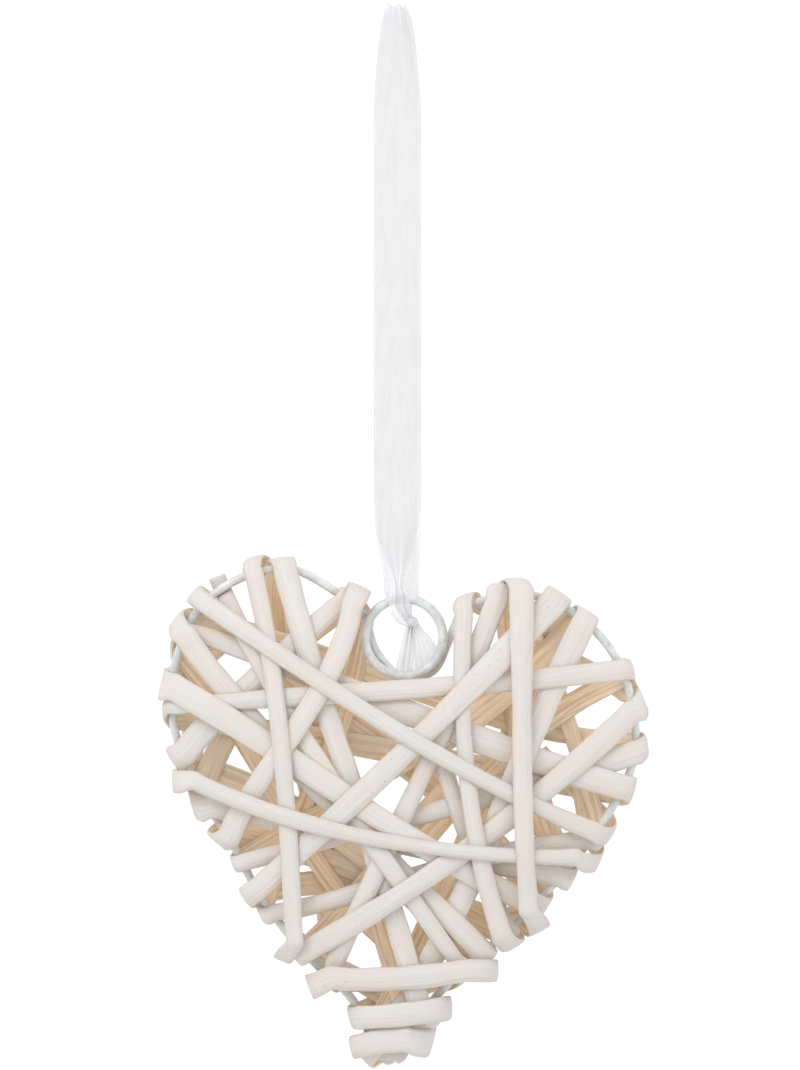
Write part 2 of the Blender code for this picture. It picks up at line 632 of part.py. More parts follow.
    def stack_folds(self, change):
        """Widens the folds so that each clears the wire and the folds under it."""
        spread = int(self.outline.length / CELL) + 1
        table = np.full((spread, FOLD_ANGLES), WIRE_RADIUS)
        worst = 0.0
        if change:
            for fold in self.folds:
                fold["out"] = FIRST_FOLD
        for fold in sorted(self.folds, key=lambda f: f["rank"]):
            wide = np.maximum(table, np.maximum(np.roll(table, 1, 0), np.roll(table, -1, 0)))
            for _ in range(STACK_TURNS if change else 1):
                face = fold_samples(self.outline, fold, self.fold_steps, -STRIP_THICKNESS / 2)
                i = np.mod(np.rint(face["along"] / CELL).astype(int), spread)
                j = np.clip((face["angle"] / math.pi * FOLD_ANGLES).astype(int), 0, FOLD_ANGLES - 1)
                gap = wide[i, j] + LAY_GAP - face["radius"]
                short = float(gap.max())
                if not change or short <= NEARLY:
                    break
                gap = np.maximum(gap, 0)
                facing = face["facing"]
                fold["out"] += float((gap * np.sqrt(1 - facing**2)).max())
                for name, sign in (("front", 1), ("back", -1)):
                    more = float((gap * np.maximum(0, sign * facing)).max())
                    if more > NEARLY:
                        fold[name] += more
                        fold["least"][name] = max(fold["least"][name], fold[name])
            worst = max(worst, short)
            face = fold_samples(self.outline, fold, self.fold_steps, STRIP_THICKNESS / 2)
            i = np.mod(np.rint(face["along"] / CELL).astype(int), spread)
            j = np.clip((face["angle"] / math.pi * FOLD_ANGLES).astype(int), 0, FOLD_ANGLES - 1)
            for shift in (-1, 0, 1):
                near = np.clip(j + shift, 0, FOLD_ANGLES - 1)
                np.maximum.at(table, (i.ravel(), near.ravel()), face["radius"].ravel())
        return worst

    def solve(self, obstacle):
        """Settles the weave in a few rounds, the last with the folds held, and returns how far any is short."""
        for _ in range(ROUNDS):
            self.lay("front", obstacle, True)
            self.lay("back", None, True)
            self.stack_folds(True)
        return max(self.lay("front", obstacle, False), self.lay("back", None, False), self.stack_folds(False))

    def edges(self, name):
        """The left and right edge points of a whole strip, in the part's frame."""
        chain, folds = self.strips[name]
        left, right = [], []
        for i, c in enumerate(chain):
            level = heights(c) * (-1 if c["side"] == "front" else 1)
            left += [(p[0], y, p[1]) for p, y in zip(c["left"], level[:, 0])]
            right += [(p[0], y, p[1]) for p, y in zip(c["right"], level[:, 1])]
            if i < len(folds):
                lo, hi = fold_points(self.outline, folds[i], self.fold_steps)[0]
                order = slice(None) if folds[i]["to_back"] else slice(None, None, -1)
                left += [(p[0], -p[2], p[1]) for p in lo[order]]
                right += [(p[0], -p[2], p[1]) for p in hi[order]]
        return np.array(left), np.array(right)


def move_to_heart(points):
    """Puts points of the heart's own plane where the heart hangs."""
    drop = HANGING_DROP + RING_RADIUS + RING_WIRE_RADIUS + CLEARANCE
    return points + np.array([RING_TO_LOOP_OFFSET, 0.0, -drop])


def material(name, colour, roughness, metallic, alpha=1.0):
    """A plain material."""
    made = bpy.data.materials.new(name)
    made.use_nodes = True
    shader = made.node_tree.nodes["Principled BSDF"]
    shader.inputs["Base Color"].default_value = colour
    shader.inputs["Roughness"].default_value = roughness
    shader.inputs["Metallic"].default_value = metallic
    shader.inputs["Alpha"].default_value = alpha
    made.diffuse_color = colour
    return made


def tape(name, left, right, thickness, made, collection):
    """A long flat strip between two lines of edge points, thickened both ways."""
    mesh = bpy.data.meshes.new(name)
    bm = bmesh.new()
    pairs = [(bm.verts.new(a), bm.verts.new(b)) for a, b in zip(left, right)]
    for (a, b), (c, d) in zip(pairs, pairs[1:]):
        bm.faces.new((a, b, d, c))
    bm.to_mesh(mesh)
    bm.free()
    mesh.materials.append(made)
    piece = bpy.data.objects.new(name, mesh)
    collection.objects.link(piece)
    solid = piece.modifiers.new("thickness", "SOLIDIFY")
    solid.thickness = thickness
    solid.offset = 0.0
    return piece


def heart_wire(outline, made, collection):
    """The closed wire, with a point wherever its bend asks for one."""
    u, stations = 0.0, []
    while u < outline.length:
        stations.append(u)
        turn = outline.direction(u + BEND_REACH) @ outline.direction(u - BEND_REACH)
        bow = math.acos(min(1.0, turn)) / (2 * BEND_REACH)
        u += min(LONGEST_WIRE_STEP, math.sqrt(8 * WIRE_SAG / max(bow, NEARLY)))
    u = np.array(stations) * outline.length / max(u, outline.length)
    flat = outline.at(u)
    points = move_to_heart(np.column_stack([flat[:, 0], np.zeros(len(u)), flat[:, 1]]))
    curve = bpy.data.curves.new("frame_wire", "CURVE")
    curve.dimensions = "3D"
    curve.resolution_u = 1
    curve.bevel_depth = WIRE_RADIUS
    curve.bevel_resolution = 2
    line = curve.splines.new("POLY")
    line.points.add(len(points) - 1)
    for spot, p in zip(line.points, points):
        spot.co = (*p, 1)
    line.use_cyclic_u = True
    curve.materials.append(made)
    wire = bpy.data.objects.new("frame_wire", curve)
    collection.objects.link(wire)
    return wire


def hanging_ring(made, collection):
    """The ring that stands in front of the notch's wire."""
    bpy.ops.mesh.primitive_torus_add(
        major_radius=RING_RADIUS,
        minor_radius=RING_WIRE_RADIUS,
        major_segments=36,
        minor_segments=8,
        rotation=(math.pi / 2, 0, 0),
        location=(RING_TO_LOOP_OFFSET, -ring_stand(), -HANGING_DROP),
    )
    ring = bpy.context.object
    ring.name = "ring"
    ring.data.name = "ring"
    bpy.ops.object.transform_apply(location=False, rotation=True, scale=True)
    bpy.ops.object.shade_smooth()
    ring.data.materials.append(made)
    for old in ring.users_collection:
        old.objects.unlink(ring)
    collection.objects.link(ring)
    return ring


def ring_stand():
    """How far the ring's plane stands in front of the heart's plane."""
    return WIRE_RADIUS + CLEARANCE + RING_WIRE_RADIUS


def ring_obstacle():
    """Points over the ring's front in the heart's own plane, with their heights."""
    round_ring = np.linspace(0, 2 * math.pi, RING_GRID[0])[:, None]
    across = np.linspace(-1, 1, RING_GRID[1])[None, :]
    radius = RING_RADIUS + across * RING_WIRE_RADIUS
    rise = RING_RADIUS + RING_WIRE_RADIUS + CLEARANCE
    plan = np.stack([radius * np.cos(round_ring), radius * np.sin(round_ring) + rise], -1)
    height = ring_stand() + RING_WIRE_RADIUS * np.sqrt(1 - across**2) + 0 * round_ring
    return plan, height


def ribbon_edges():
    """The ribbon's left and right edges from one cut end up round the hanging loop to the other."""
    ring_x, top = RING_TO_LOOP_OFFSET, RING_RADIUS
    passing = RING_WIRE_RADIUS + CLEARANCE + RIBBON_THICKNESS
    front, back = -ring_stand() - passing, -ring_stand() + passing
    knot = HANGING_DROP - top + 3.4 * RING_WIRE_RADIUS
    tail = HANGING_DROP + RING_RADIUS + CLEARANCE
    # Each station: distance below the loop's top, place across, place front to back, width in ribbon widths
    high = [
        (0.02 * HANGING_DROP, 0.0, 0.45, 0.50),
        (0.05 * HANGING_DROP, 0.0, 0.75, 0.64),
        (0.10 * HANGING_DROP, 0.0, 0.95, 0.83),
        (0.20 * HANGING_DROP, 0.0, 1.0, 0.97),
        (0.50 * HANGING_DROP, 0.0, 1.0, 1.0),
        (0.78 * HANGING_DROP, 0.0, 1.0, 1.0),
    ]
    belly = 0.13 * RIBBON_WIDTH
    low_front = [
        (0.86 * HANGING_DROP, -0.04, front * 0.75, 0.82),
        (HANGING_DROP - top - 2 * RING_WIRE_RADIUS, -0.06, front, 0.42),
        (HANGING_DROP - top, 0.02, front, 0.36),
        (HANGING_DROP - top + 1.8 * RING_WIRE_RADIUS, 0.10, front, 0.36),
        (knot, 0.20, -ring_stand() - 1.6 * RIBBON_THICKNESS, 0.30),
    ]
    low_back = [
        (0.86 * HANGING_DROP, 0.02, 0.0, 0.95),
        (HANGING_DROP - top - 2 * RING_WIRE_RADIUS, 0.12, back, 0.70),
        (HANGING_DROP - top, 0.13, back, 0.46),
        (HANGING_DROP - top + 1.8 * RING_WIRE_RADIUS, 0.15, back, 0.34),
        (knot, 0.20, -ring_stand() + 1.6 * RIBBON_THICKNESS, 0.30),
    ]
    # The tails hang through the notch and end behind the wire
    knot_depth = -ring_stand()
    behind_wire = WIRE_RADIUS + CLEARANCE + RIBBON_THICKNESS
    clear = HANGING_DROP + RING_RADIUS - 2.4 * RING_WIRE_RADIUS
    tails = [
        (knot + 0.2 * (clear - knot), 0.22, 0.15, 0.42),
        (knot + 0.6 * (clear - knot), 0.28, 0.6, 0.66),
        (clear, 0.31, 1.0, 0.84),
        (tail, 0.32, 1.0, 0.88),
    ]
    path = []
    for down, across, share, width in reversed(tails):
        path.append((down, across, knot_depth * (1 - share) + behind_wire * share, width))
    path += reversed(low_front)
    path += reversed([(d, a, -y * belly, w) for d, a, y, w in high])
    path.append((RIBBON_THICKNESS / 2, 0.0, 0.0, 0.36))
    path += [(d, a, y * belly, w) for d, a, y, w in high]
    path += low_back
    for down, across, share, width in tails:
        depth = knot_depth * (1 - share) + behind_wire * share + 3 * RIBBON_THICKNESS
        path.append((down, across, depth, width))
    left, right = [], []
    for down, across, depth, width in path:
        x = across * RIBBON_WIDTH
        half = width * RIBBON_WIDTH / 2
        left.append((x - half, depth, -down))
        right.append((x + half, depth, -down))
    return left, right


def main():
    for old in list(bpy.data.objects):
        bpy.data.objects.remove(old)
    scene = bpy.context.scene
    group = bpy.data.collections.new("wicker_heart")
    scene.collection.children.link(group)
    paint = material("painted_wire", COLOURS["wire"], 0.45, 0.1)
    outline = Outline(closed_curve(OUTLINE, OUTLINE_STEPS) * HEART_WIDTH)
    heart_wire(outline, paint, group)
    hanging_ring(material("painted_ring", COLOURS["wire"], 0.45, 0.1), group)
    weave = Weave(outline, PASS_STEP, FOLD_STEPS)
    weave.solve(ring_obstacle())
    for name in WEAVE:
        left, right = weave.edges(name)
        willow = material("willow_" + name[-1], COLOURS["willow"], 0.75, 0.0)
        tape(name, move_to_heart(left), move_to_heart(right), STRIP_THICKNESS, willow, group)
    left, right = ribbon_edges()
    sheer = material("sheer_ribbon", COLOURS["ribbon"], 0.5, 0.0, 0.6)
    tape("ribbon", left, right, RIBBON_THICKNESS, sheer, group)


main()
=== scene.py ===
"""The looks of a hanging wicker heart: whitewashed split willow on a painted wire, a ring and a sheer ribbon.

The willow strips are woven again by the same rules as the solids, only finer, and then get the section of a
half-round split, its grain and its whitewash. All lengths are in metres, Z is up and the front faces -Y.
"""

import math

import bpy
import numpy as np
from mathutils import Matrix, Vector, geometry


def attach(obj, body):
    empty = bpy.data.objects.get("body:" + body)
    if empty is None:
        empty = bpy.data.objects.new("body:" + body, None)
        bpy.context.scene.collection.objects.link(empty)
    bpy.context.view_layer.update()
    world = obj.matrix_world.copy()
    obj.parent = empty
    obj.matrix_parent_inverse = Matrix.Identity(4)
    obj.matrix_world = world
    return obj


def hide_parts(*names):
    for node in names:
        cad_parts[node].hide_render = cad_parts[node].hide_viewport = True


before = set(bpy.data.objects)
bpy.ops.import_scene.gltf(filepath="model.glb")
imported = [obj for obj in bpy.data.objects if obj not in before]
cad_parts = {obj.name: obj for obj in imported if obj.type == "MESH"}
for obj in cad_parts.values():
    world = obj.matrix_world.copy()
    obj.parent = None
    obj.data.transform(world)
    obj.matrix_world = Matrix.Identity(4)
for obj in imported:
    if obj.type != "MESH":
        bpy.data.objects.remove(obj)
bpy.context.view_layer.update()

# Sizes, as in the solids
HEART_WIDTH = 0.100
HANGING_DROP = 0.1314
RING_TO_LOOP_OFFSET = 0.00145
WIRE_RADIUS = 0.00088
RING_RADIUS = 0.00805
RING_WIRE_RADIUS = 0.00097
STRIP_WIDTH = 0.00415
STRIP_THICKNESS = 0.0005
PLUMPNESS = 0.0048
RIBBON_WIDTH = 0.010
CLEARANCE = 0.0003
LAY_GAP = 0.0002

# How the strips bend, as in the solids
FRONT = 1
BACK = -1
FOLD_LEAN = math.radians(20)
STIFF_REACH = 0.004
REST_REACH = 0.022
TURN_WIDTHS = 2.4
TURN_LIMIT = 0.4
SHARPEST_FOLD = 0.62
ALONG_WIRE = 0.25
FRONT_PULL = 0.6
LINE_PULL = 0.8
FACING_LEAST = 0.8
STEEPEST_SLANT = 1.1
BOW_SCALE = 27 / 4
HALF_THICK = 0.54 * STRIP_THICKNESS
FIRST_FOLD = 1.04 * (WIRE_RADIUS + CLEARANCE + STRIP_THICKNESS / 2)
STUB_DEPTH = 2.2 * WIRE_RADIUS

# How fine the looks are
PASS_STEP = 0.0032
FOLD_STEPS = 9
OUTLINE_STEPS = 24
CELL = 0.00025
DIRECTION_REACH = 4 * CELL
MARGIN = 0.12 * HEART_WIDTH
FORM_CELL = HEART_WIDTH / 100
SETTLE_GRID = (14, 11)
FOLD_GRID = (6, 7)
GROUND_GRID = (22, 17)
FOLD_ANGLES = 36
WIRE_ROWS = 7
STUB_STATIONS = 4
RING_GRID = (240, 9)
ROUNDS = 5
FORM_SWEEPS = 320
FORM_STEP = 1.94
BEND_TURNS = 30
LIFT_TURNS = 6
STACK_TURNS = 8
SEARCH_TURNS = 8
SOFT_HOLD = 40.0
FIRM_HOLD = 1e7
PRESS = 3e4
NEARLY = 1e-6
TINY = 1e-12

# The heart's outline and its weave, as in the solids, in shares of the heart's width, the wire's length
# and a strip's width. Each strip has its first side, then its crossings, which change sides. A crossing
# has its place in the order of laying, its start and end on the wire, two bows, its width or its three
# widths, and the shares of its length where it begins and stops, if not at the wire.
OUTLINE = (
    (0.0021, 0.0066), (0.0622, 0.0253), (0.0934, 0.0876), (0.1224, 0.1477),
    (0.1826, 0.1747), (0.2448, 0.183), (0.3154, 0.1643), (0.3838, 0.1187),
    (0.4398, 0.0502), (0.473, -0.0432), (0.4772, -0.1552), (0.4274, -0.2672),
    (0.3008, -0.429), (0.1743, -0.5535), (0.0809, -0.6365), (0.0083, -0.7299),
    (-0.0332, -0.7859), (-0.0705, -0.7154), (-0.1183, -0.6448), (-0.1971, -0.5701),
    (-0.2946, -0.4498), (-0.3485, -0.3481), (-0.4398, -0.1967), (-0.4793, -0.0784),
    (-0.473, 0.0419), (-0.4253, 0.1519), (-0.3382, 0.2162), (-0.2365, 0.2349),
    (-0.1473, 0.1913), (-0.0851, 0.1415), (-0.0581, 0.0647),
)
WEAVE = (
    (
        FRONT,
        (12, 0.8476, 0.4178, -0.019, -0.007, (0.85, 1, 0.8), -0.028, 1),
        (13, 0.4314, 0.7957, 0.068, -0.01, (0.84, 0.87, 0.89)),
        (6, 0.8124, 0.2625, 0.005, -0.01, (0.85, 1.3, 1.3)),
        (15, 0.2655, 0.7534, 0.004, -0.011, (1.39, 1.18, 0.97)),
        (13, 0.7625, 0.1851, 0.002, -0.006, (0.85, 1, 1.1)),
        (7, 0.1902, 0.5712, -0.053, -0.006, 1.04, 0, 0.62),
    ),
    (
        BACK,
        (8, 0.1842, 0.5832, -0.065, -0.006, 1.04, 0.5, 1),
        (16, 0.5832, 0.2125, -0.017, -0.019, (1.1, 1.1, 1.2)),
        (24, 0.2002, 0.0718, 0.013, 0, (1.14, 0.99, 0.85)),
        (17, 0.0623, 0.3848, -0.025, -0.033, (0.9, 0.85, 1.1)),
        (25, 0.3793, 0.6297, -0.042, -0.064, 1.28),
        (18, 0.6327, 0.1224, -0.005, -0.006, (1.1, 1.2, 1.35)),
        (20, 0.1243, 0.5172, 0.021, 0.016, (1.36, 1.1, 0.84)),
        (1, 0.5018, 0.4858, 0, 0, 0.8),
        (1, 0.472, 0.873, -0.008, -0.007, 0.76, 0, 0.25),
    ),
    (
        BACK,
        (31, 0.472, 0.879, -0.008, -0.007, 0.9, 0.15, 1),
        (19, 0.8702, 0.5917, 0.019, 0.009, (0.95, 0.9, 0.9)),
        (28, 0.59, 0.4669, -0.012, 0.057, (0.93, 1.1, 1.27)),
        (24, 0.4744, 0.5098, -0.003, -0.002, 1.25),
        (22, 0.5078, 0.4556, 0, 0, 1.19, 0, 0.55),
    ),
    (
        FRONT,
        (4, 0.0055, 0.3786, 0.001, -0.024, (0.8, 0.9, 0.8), 0.15, 1),
        (23, 0.3853, 0.6747, -0.024, -0.015, (1, 1.19, 1.38)),
        (15, 0.6706, 0.9398, 0.01, -0.048, (1.2, 1.1, 1.1)),
        (17, 0.9378, 0.7046, -0.052, -0.044, 1.2),
        (2, 0.6933, 0.3324, 0.005, -0.005, (1.1, 0.8, 1)),
        (2, 0.3272, 0.1004, 0.05, 0.021, 1.35, 0, 0.5),
    ),
    (
        BACK,
        (12, 0.3242, 0.0914, 0.05, 0.021, 1.14, 0.38, 1),
        (22, 0.1012, 0.3617, -0.002, -0.01, (1.2, 1, 1)),
        (27, 0.3695, 0.5541, -0.035, 0.07, (1.19, 1.14, 1.09)),
        (11, 0.5609, 0.0861, 0.002, -0.01, (0.9, 1, 1.1)),
        (9, 0.093, 0.2917, 0.034, 0.013, (0.96, 0.87, 0.77)),
        (5, 0.3022, 0.6145, -0.027, 0.006, (0.9, 1, 0.9)),
        (4, 0.6223, 0.9385, -0.021, -0.027, 0.85, 0, 0.5),
    ),
    (
        BACK,
        (6, 0.6223, 0.9505, -0.021, -0.027, 1.04, 0.38, 1),
        (8, 0.9343, 0.7309, -0.007, -0.017, (1.1, 1.15, 1.25)),
        (18, 0.7244, 0.4039, 0.051, 0.015, (1.19, 1.17, 1.14)),
        (9, 0.4009, 0.8093, 0, 0.022, (1.2, 1.05, 1.2)),
        (14, 0.8202, 0.2318, 0.014, -0.04, 0.98),
        (3, 0.239, 0.6522, 0.007, -0.001, (1.2, 1, 0.9)),
        (3, 0.6552, 0.1428, -0.015, -0.041, 0.85, 0, 0.62),
    ),
    (
        BACK,
        (5, 0.6552, 0.1428, -0.015, -0.041, 1.35, 0.5, 1),
        (7, 0.146, 0.5079, -0.004, 0.027, (1.25, 1.2, 1.1)),
        (21, 0.5022, 0.468, 0, 0, (1.04, 1.09, 1.14)),
        (10, 0.4574, 0.8904, -0.01, 0.008, (1.2, 1.1, 1.25)),
        (30, 0.8864, 0.56, -0.027, 0.035, (1.43, 1.41, 1.38)),
        (23, 0.56, 0.4164, -0.018, -0.018, (1.2, 1.2, 1.1)),
        (32, 0.4193, 0.5287, 0, 0, (1.04, 1.06, 1.09)),
        (25, 0.5274, 0.4525, -0.006, -0.006, (1.15, 1.2, 1.2)),
        (29, 0.4556, 0.5078, 0, 0, 1.14, 0, 0.6),
    ),
    (
        BACK,
        (16, 0.901, 0.7791, 0, 0, 1.33, 0.45, 1),
        (14, 0.7751, 0.3563, 0.007, -0.017, (1.4, 1.2, 1.2)),
        (26, 0.3516, 0.8335, -0.034, 0.011, (1.38, 1.28, 1.19)),
        (21, 0.8333, 0.296, -0.011, -0.02, (1, 0.85, 0.95)),
        (11, 0.2858, 0.032, 0, 0, 0.9, 0, 0.4),
    ),
    (
        BACK,
        (19, 0.826, 0.7182, 0, 0, 1.11, 0.38, 1),
        (20, 0.7135, 0.3158, -0.036, -0.025, (1, 0.75, 0.85)),
        (10, 0.3025, 0.117, 0, 0, 0.81, 0, 0.32),
    ),
)


def smooth(x):
    """A step from 0 to 1 that starts and ends level."""
    x = np.clip(x, 0, 1)
    return x * x * (3 - 2 * x)


def unit(v):
    """The vectors at length 1."""
    return v / np.maximum(np.linalg.norm(v, axis=-1, keepdims=True), TINY)


def stand_up(plan, depth):
    """Plan points, or directions, at a depth to the back."""
    return np.column_stack([plan[:, 0], depth, plan[:, 1]])


def distances(points):
    """How far each point lies along the line through them all."""
    return np.concatenate([[0], np.cumsum(np.linalg.norm(np.diff(points, axis=0), axis=1))])


def closed_curve(points, steps):
    """A smooth closed curve through the points, by the centripetal rule."""
    pts = np.array(points, float)
    n = len(pts)
    out = []
    for i in range(n):
        p0, p1, p2, p3 = (pts[(i + k - 1) % n] for k in range(4))
        t1 = np.linalg.norm(p1 - p0) ** 0.5
        t2 = t1 + np.linalg.norm(p2 - p1) ** 0.5
        t3 = t2 + np.linalg.norm(p3 - p2) ** 0.5
        for k in range(steps):
            t = t1 + (t2 - t1) * k / steps
            a1 = (t1 - t) / t1 * p0 + t / t1 * p1
            a2 = (t2 - t) / (t2 - t1) * p1 + (t - t1) / (t2 - t1) * p2
            a3 = (t3 - t) / (t3 - t2) * p2 + (t - t2) / (t3 - t2) * p3
            b1 = (t2 - t) / t2 * a1 + t / t2 * a2
            b2 = (t3 - t) / (t3 - t1) * a2 + (t - t1) / (t3 - t1) * a3
            out.append((t2 - t) / (t2 - t1) * b1 + (t - t1) / (t2 - t1) * b2)
    return np.array(out)


class Outline:
    """The wire's centre line in the XZ plane, read by the distance along it."""

    def __init__(self, points):
        self.points = points
        self.closed = np.vstack([points, points[:1]])
        self.along = distances(self.closed)
        self.length = self.along[-1]

    def at(self, u):
        """The points at the distances u."""
        u = np.mod(u, self.length)
        return np.stack([np.interp(u, self.along, self.closed[:, k]) for k in range(2)], -1)

    def direction(self, u):
        """The wire's direction at the distances u."""
        return unit(self.at(np.asarray(u) + DIRECTION_REACH) - self.at(np.asarray(u) - DIRECTION_REACH))

    def outward(self, u):
        """The direction out of the heart at the distances u."""
        d = self.direction(u)
        return np.stack([-d[..., 1], d[..., 0]], -1)


def inside(x, z, polygon):
    """Whether each point lies in the polygon."""
    result = np.zeros(x.shape, bool)
    for a, b in zip(polygon, np.roll(polygon, -1, axis=0)):
        crosses = (a[1] > z) != (b[1] > z)
        if a[1] != b[1]:
            result ^= crosses & (x < a[0] + (z - a[1]) / (b[1] - a[1]) * (b[0] - a[0]))
    return result


class Field:
    """A height for each cell of a grid in the XZ plane."""

    def __init__(self, low, high, cell, value=0.0):
        self.low = np.array(low)
        self.cell = cell
        self.shape = tuple(int(math.ceil((high[k] - low[k]) / cell)) + 1 for k in range(2))
        self.data = np.full(self.shape, value)

    def index(self, points):
        place = np.rint((points - self.low) / self.cell).astype(int)
        return tuple(np.clip(place[..., k], 0, self.shape[k] - 1) for k in range(2))

    def raise_to(self, points, heights):
        """Lifts the cells under the points to at least the heights."""
        i, j = self.index(points)
        np.maximum.at(self.data, (i.ravel(), j.ravel()), heights.ravel())

    def highest_near(self, points):
        """The highest value in and around the cell under each point."""
        wide = self.data
        for axis in range(2):
            wide = np.maximum(wide, np.maximum(np.roll(wide, 1, axis), np.roll(wide, -1, axis)))
        return wide[self.index(points)]

    def read(self, points):
        """The heights at the points, between the cells' centres."""
        place = np.clip((points - self.low) / self.cell, 0, np.array(self.shape) - 1 - NEARLY)
        base = place.astype(int)
        part = place - base
        i, j = base[..., 0], base[..., 1]
        fi, fj = part[..., 0], part[..., 1]
        d = self.data
        near = d[i, j] * (1 - fi) + d[i + 1, j] * fi
        far = d[i, j + 1] * (1 - fi) + d[i + 1, j + 1] * fi
        return near * (1 - fj) + far * fj


def plump_form(outline):
    """The heart's swelling as a stretched skin under pressure, held at the outline's hull."""
    edge = outline.points[geometry.convex_hull_2d(outline.points.tolist())]
    form = Field(edge.min(0) - MARGIN, edge.max(0) + MARGIN, FORM_CELL)
    x = form.low[0] + np.arange(form.shape[0])[:, None] * FORM_CELL + np.zeros(form.shape)
    z = form.low[1] + np.arange(form.shape[1])[None, :] * FORM_CELL + np.zeros(form.shape)
    free = inside(x, z, edge)
    checker = (np.indices(form.shape).sum(0) % 2).astype(bool)
    d = form.data
    for _ in range(FORM_SWEEPS):
        for colour in (checker, ~checker):
            around = np.roll(d, 1, 0) + np.roll(d, -1, 0) + np.roll(d, 1, 1) + np.roll(d, -1, 1)
            target = (around + 1) / 4
            use = free & colour
            d[use] += FORM_STEP * (target[use] - d[use])
    form.data = d / d.max() * PLUMPNESS
    return form


def crossing(outline, form, side, row):
    """The plan of one crossing: where its left and right edges run, seen from outside."""
    layer, start, end, lean_1, lean_2, widths, *cut = row
    w1, w2, w3 = np.broadcast_to(widths, 3)
    first, last = cut or (0, 1)
    u1, u2 = start * outline.length, end * outline.length
    a, b = outline.at(u1), outline.at(u2)
    chord = b - a
    length = np.linalg.norm(chord)
    count = max(3, int(round(length * (last - first) / PASS_STEP)))
    if first < 0:
        count *= 2
    t = np.linspace(first, last, count + 1)
    along = chord / length
    across = np.array([-along[1], along[0]])
    bow = BOW_SCALE * (lean_1 * t * (1 - t) ** 2 + lean_2 * t * t * (1 - t))
    slope = BOW_SCALE * (lean_1 * (1 - t) * (1 - 3 * t) + lean_2 * t * (2 - 3 * t))
    centre = a + t[:, None] * chord + (bow * length)[:, None] * across
    heading = unit(along + slope[:, None] * across)
    right = side * np.stack([heading[:, 1], -heading[:, 0]], 1)
    width = STRIP_WIDTH * (w1 * (1 - t) * (1 - 2 * t) + 4 * w2 * t * (1 - t) + w3 * t * (2 * t - 1))
    cross = right.copy()
    half = width / 2
    reach = min(TURN_WIDTHS * STRIP_WIDTH, TURN_LIMIT * length) / length
    tips = ((u1, 0, t, first == 0), (u2, -1, 1 - t, last == 1))
    for u, k, near, at_wire in tips:
        if not at_wire:
            continue
        wire = outline.direction(u)
        if wire @ right[k] < 0:
            wire = -wire
        line = ALONG_WIRE * wire + (1 - ALONG_WIRE) * right[k]
        turn = smooth(1 - near / reach)[:, None]
        cross = cross * (1 - turn) + line / np.linalg.norm(line) * turn
    cross = unit(cross)
    lean = np.abs(cross[:, 0] * heading[:, 1] - cross[:, 1] * heading[:, 0])
    half = half / np.maximum(lean, SHARPEST_FOLD)
    left_edge, right_edge = centre - cross * half[:, None], centre + cross * half[:, None]
    swell = np.stack([form.read(left_edge), form.read(right_edge)], 1)
    ends = [None, None]
    for u, k, _, at_wire in tips:
        if at_wire:
            slant = (heading[k] @ outline.direction(u)) / (heading[k] @ outline.outward(u))
            ends[k] = {
                "u": u,
                "half": half[k],
                "slant": min(STEEPEST_SLANT, max(-STEEPEST_SLANT, slant)),
                "line": cross[k],
                "edges": (left_edge[k], right_edge[k]),
            }
            swell[k] = swell[k].mean()
    return {
        "side": side,
        "layer": layer,
        "edges": (left_edge, right_edge),
        "centre": centre,
        "swell": swell,
        "ends": ends,
        "folds": [],
        "lift": np.zeros(count + 1),
        "behind": first < 0,
    }


def samples(left, right, rows, columns):
    """Points spread over the strip between two lines of edge points, with the weights of the stations."""
    n = len(left)
    k = np.append(np.repeat(np.arange(n - 1), rows), n - 2)
    f = np.append(np.tile(np.arange(rows) / rows, n - 1), 1.0)
    weights = np.zeros((len(k), n))
    weights[np.arange(len(k)), k] = 1 - f
    weights[np.arange(len(k)), k + 1] = f
    v = np.linspace(0, 1, columns)[:, None]
    points = (weights @ left)[:, None] * (1 - v) + (weights @ right)[:, None] * v
    return points, weights


def bend(cross, needs, weights, held, least):
    """The lifts of the stations above the plump form, as a springy strip that clears what lies under it."""
    n = len(cross["lift"])
    centre = cross["centre"]
    step = np.linalg.norm(np.diff(centre, axis=0), axis=1).mean()
    first = np.diff(np.eye(n), axis=0) / step
    second = np.diff(np.eye(n), 2, axis=0) / step**2
    rest = WIRE_RADIUS + CLEARANCE + STRIP_THICKNESS / 2
    stiff = step * (STIFF_REACH**2 * second.T @ second + first.T @ first + np.eye(n) / REST_REACH**2)
    pull = step / REST_REACH**2 * np.full(n, rest)
    for wanted, hold in ((least, SOFT_HOLD), (held, FIRM_HOLD)):
        for k, value in wanted:
            stiff[k, k] += hold
            pull[k] += hold * value
    rows = np.vstack([weights] + [np.eye(n)[[k]] for k, _ in least])
    values = np.append(needs, [value for _, value in least])
    lift = np.linalg.solve(stiff, pull)
    for _ in range(BEND_TURNS):
        short = rows @ lift < values - NEARLY / 10
        pressed = PRESS * rows[short].T
        new = np.linalg.solve(stiff + pressed @ rows[short], pull + pressed @ values[short])
        if np.abs(new - lift).max() < NEARLY / 100:
            break
        lift = new
    fixed = {k for k, _ in held}
    for _ in range(LIFT_TURNS):
        short = values - rows @ lift
        if short.max() < NEARLY:
            break
        for k in range(n):
            touched = rows[:, k] > 1 / 3
            if k not in fixed and touched.any():
                lift[k] += max(0.0, short[touched].max())
    return lift


def heights(cross):
    """The heights of the left and right edges above the wire's plane."""
    return cross["lift"][:, None] + cross["swell"]


def raised(cross, level):
    """The left and right edges of a pass as plan points with heights."""
    return [np.column_stack([edge, level[:, k]]) for k, edge in enumerate(cross["edges"])]


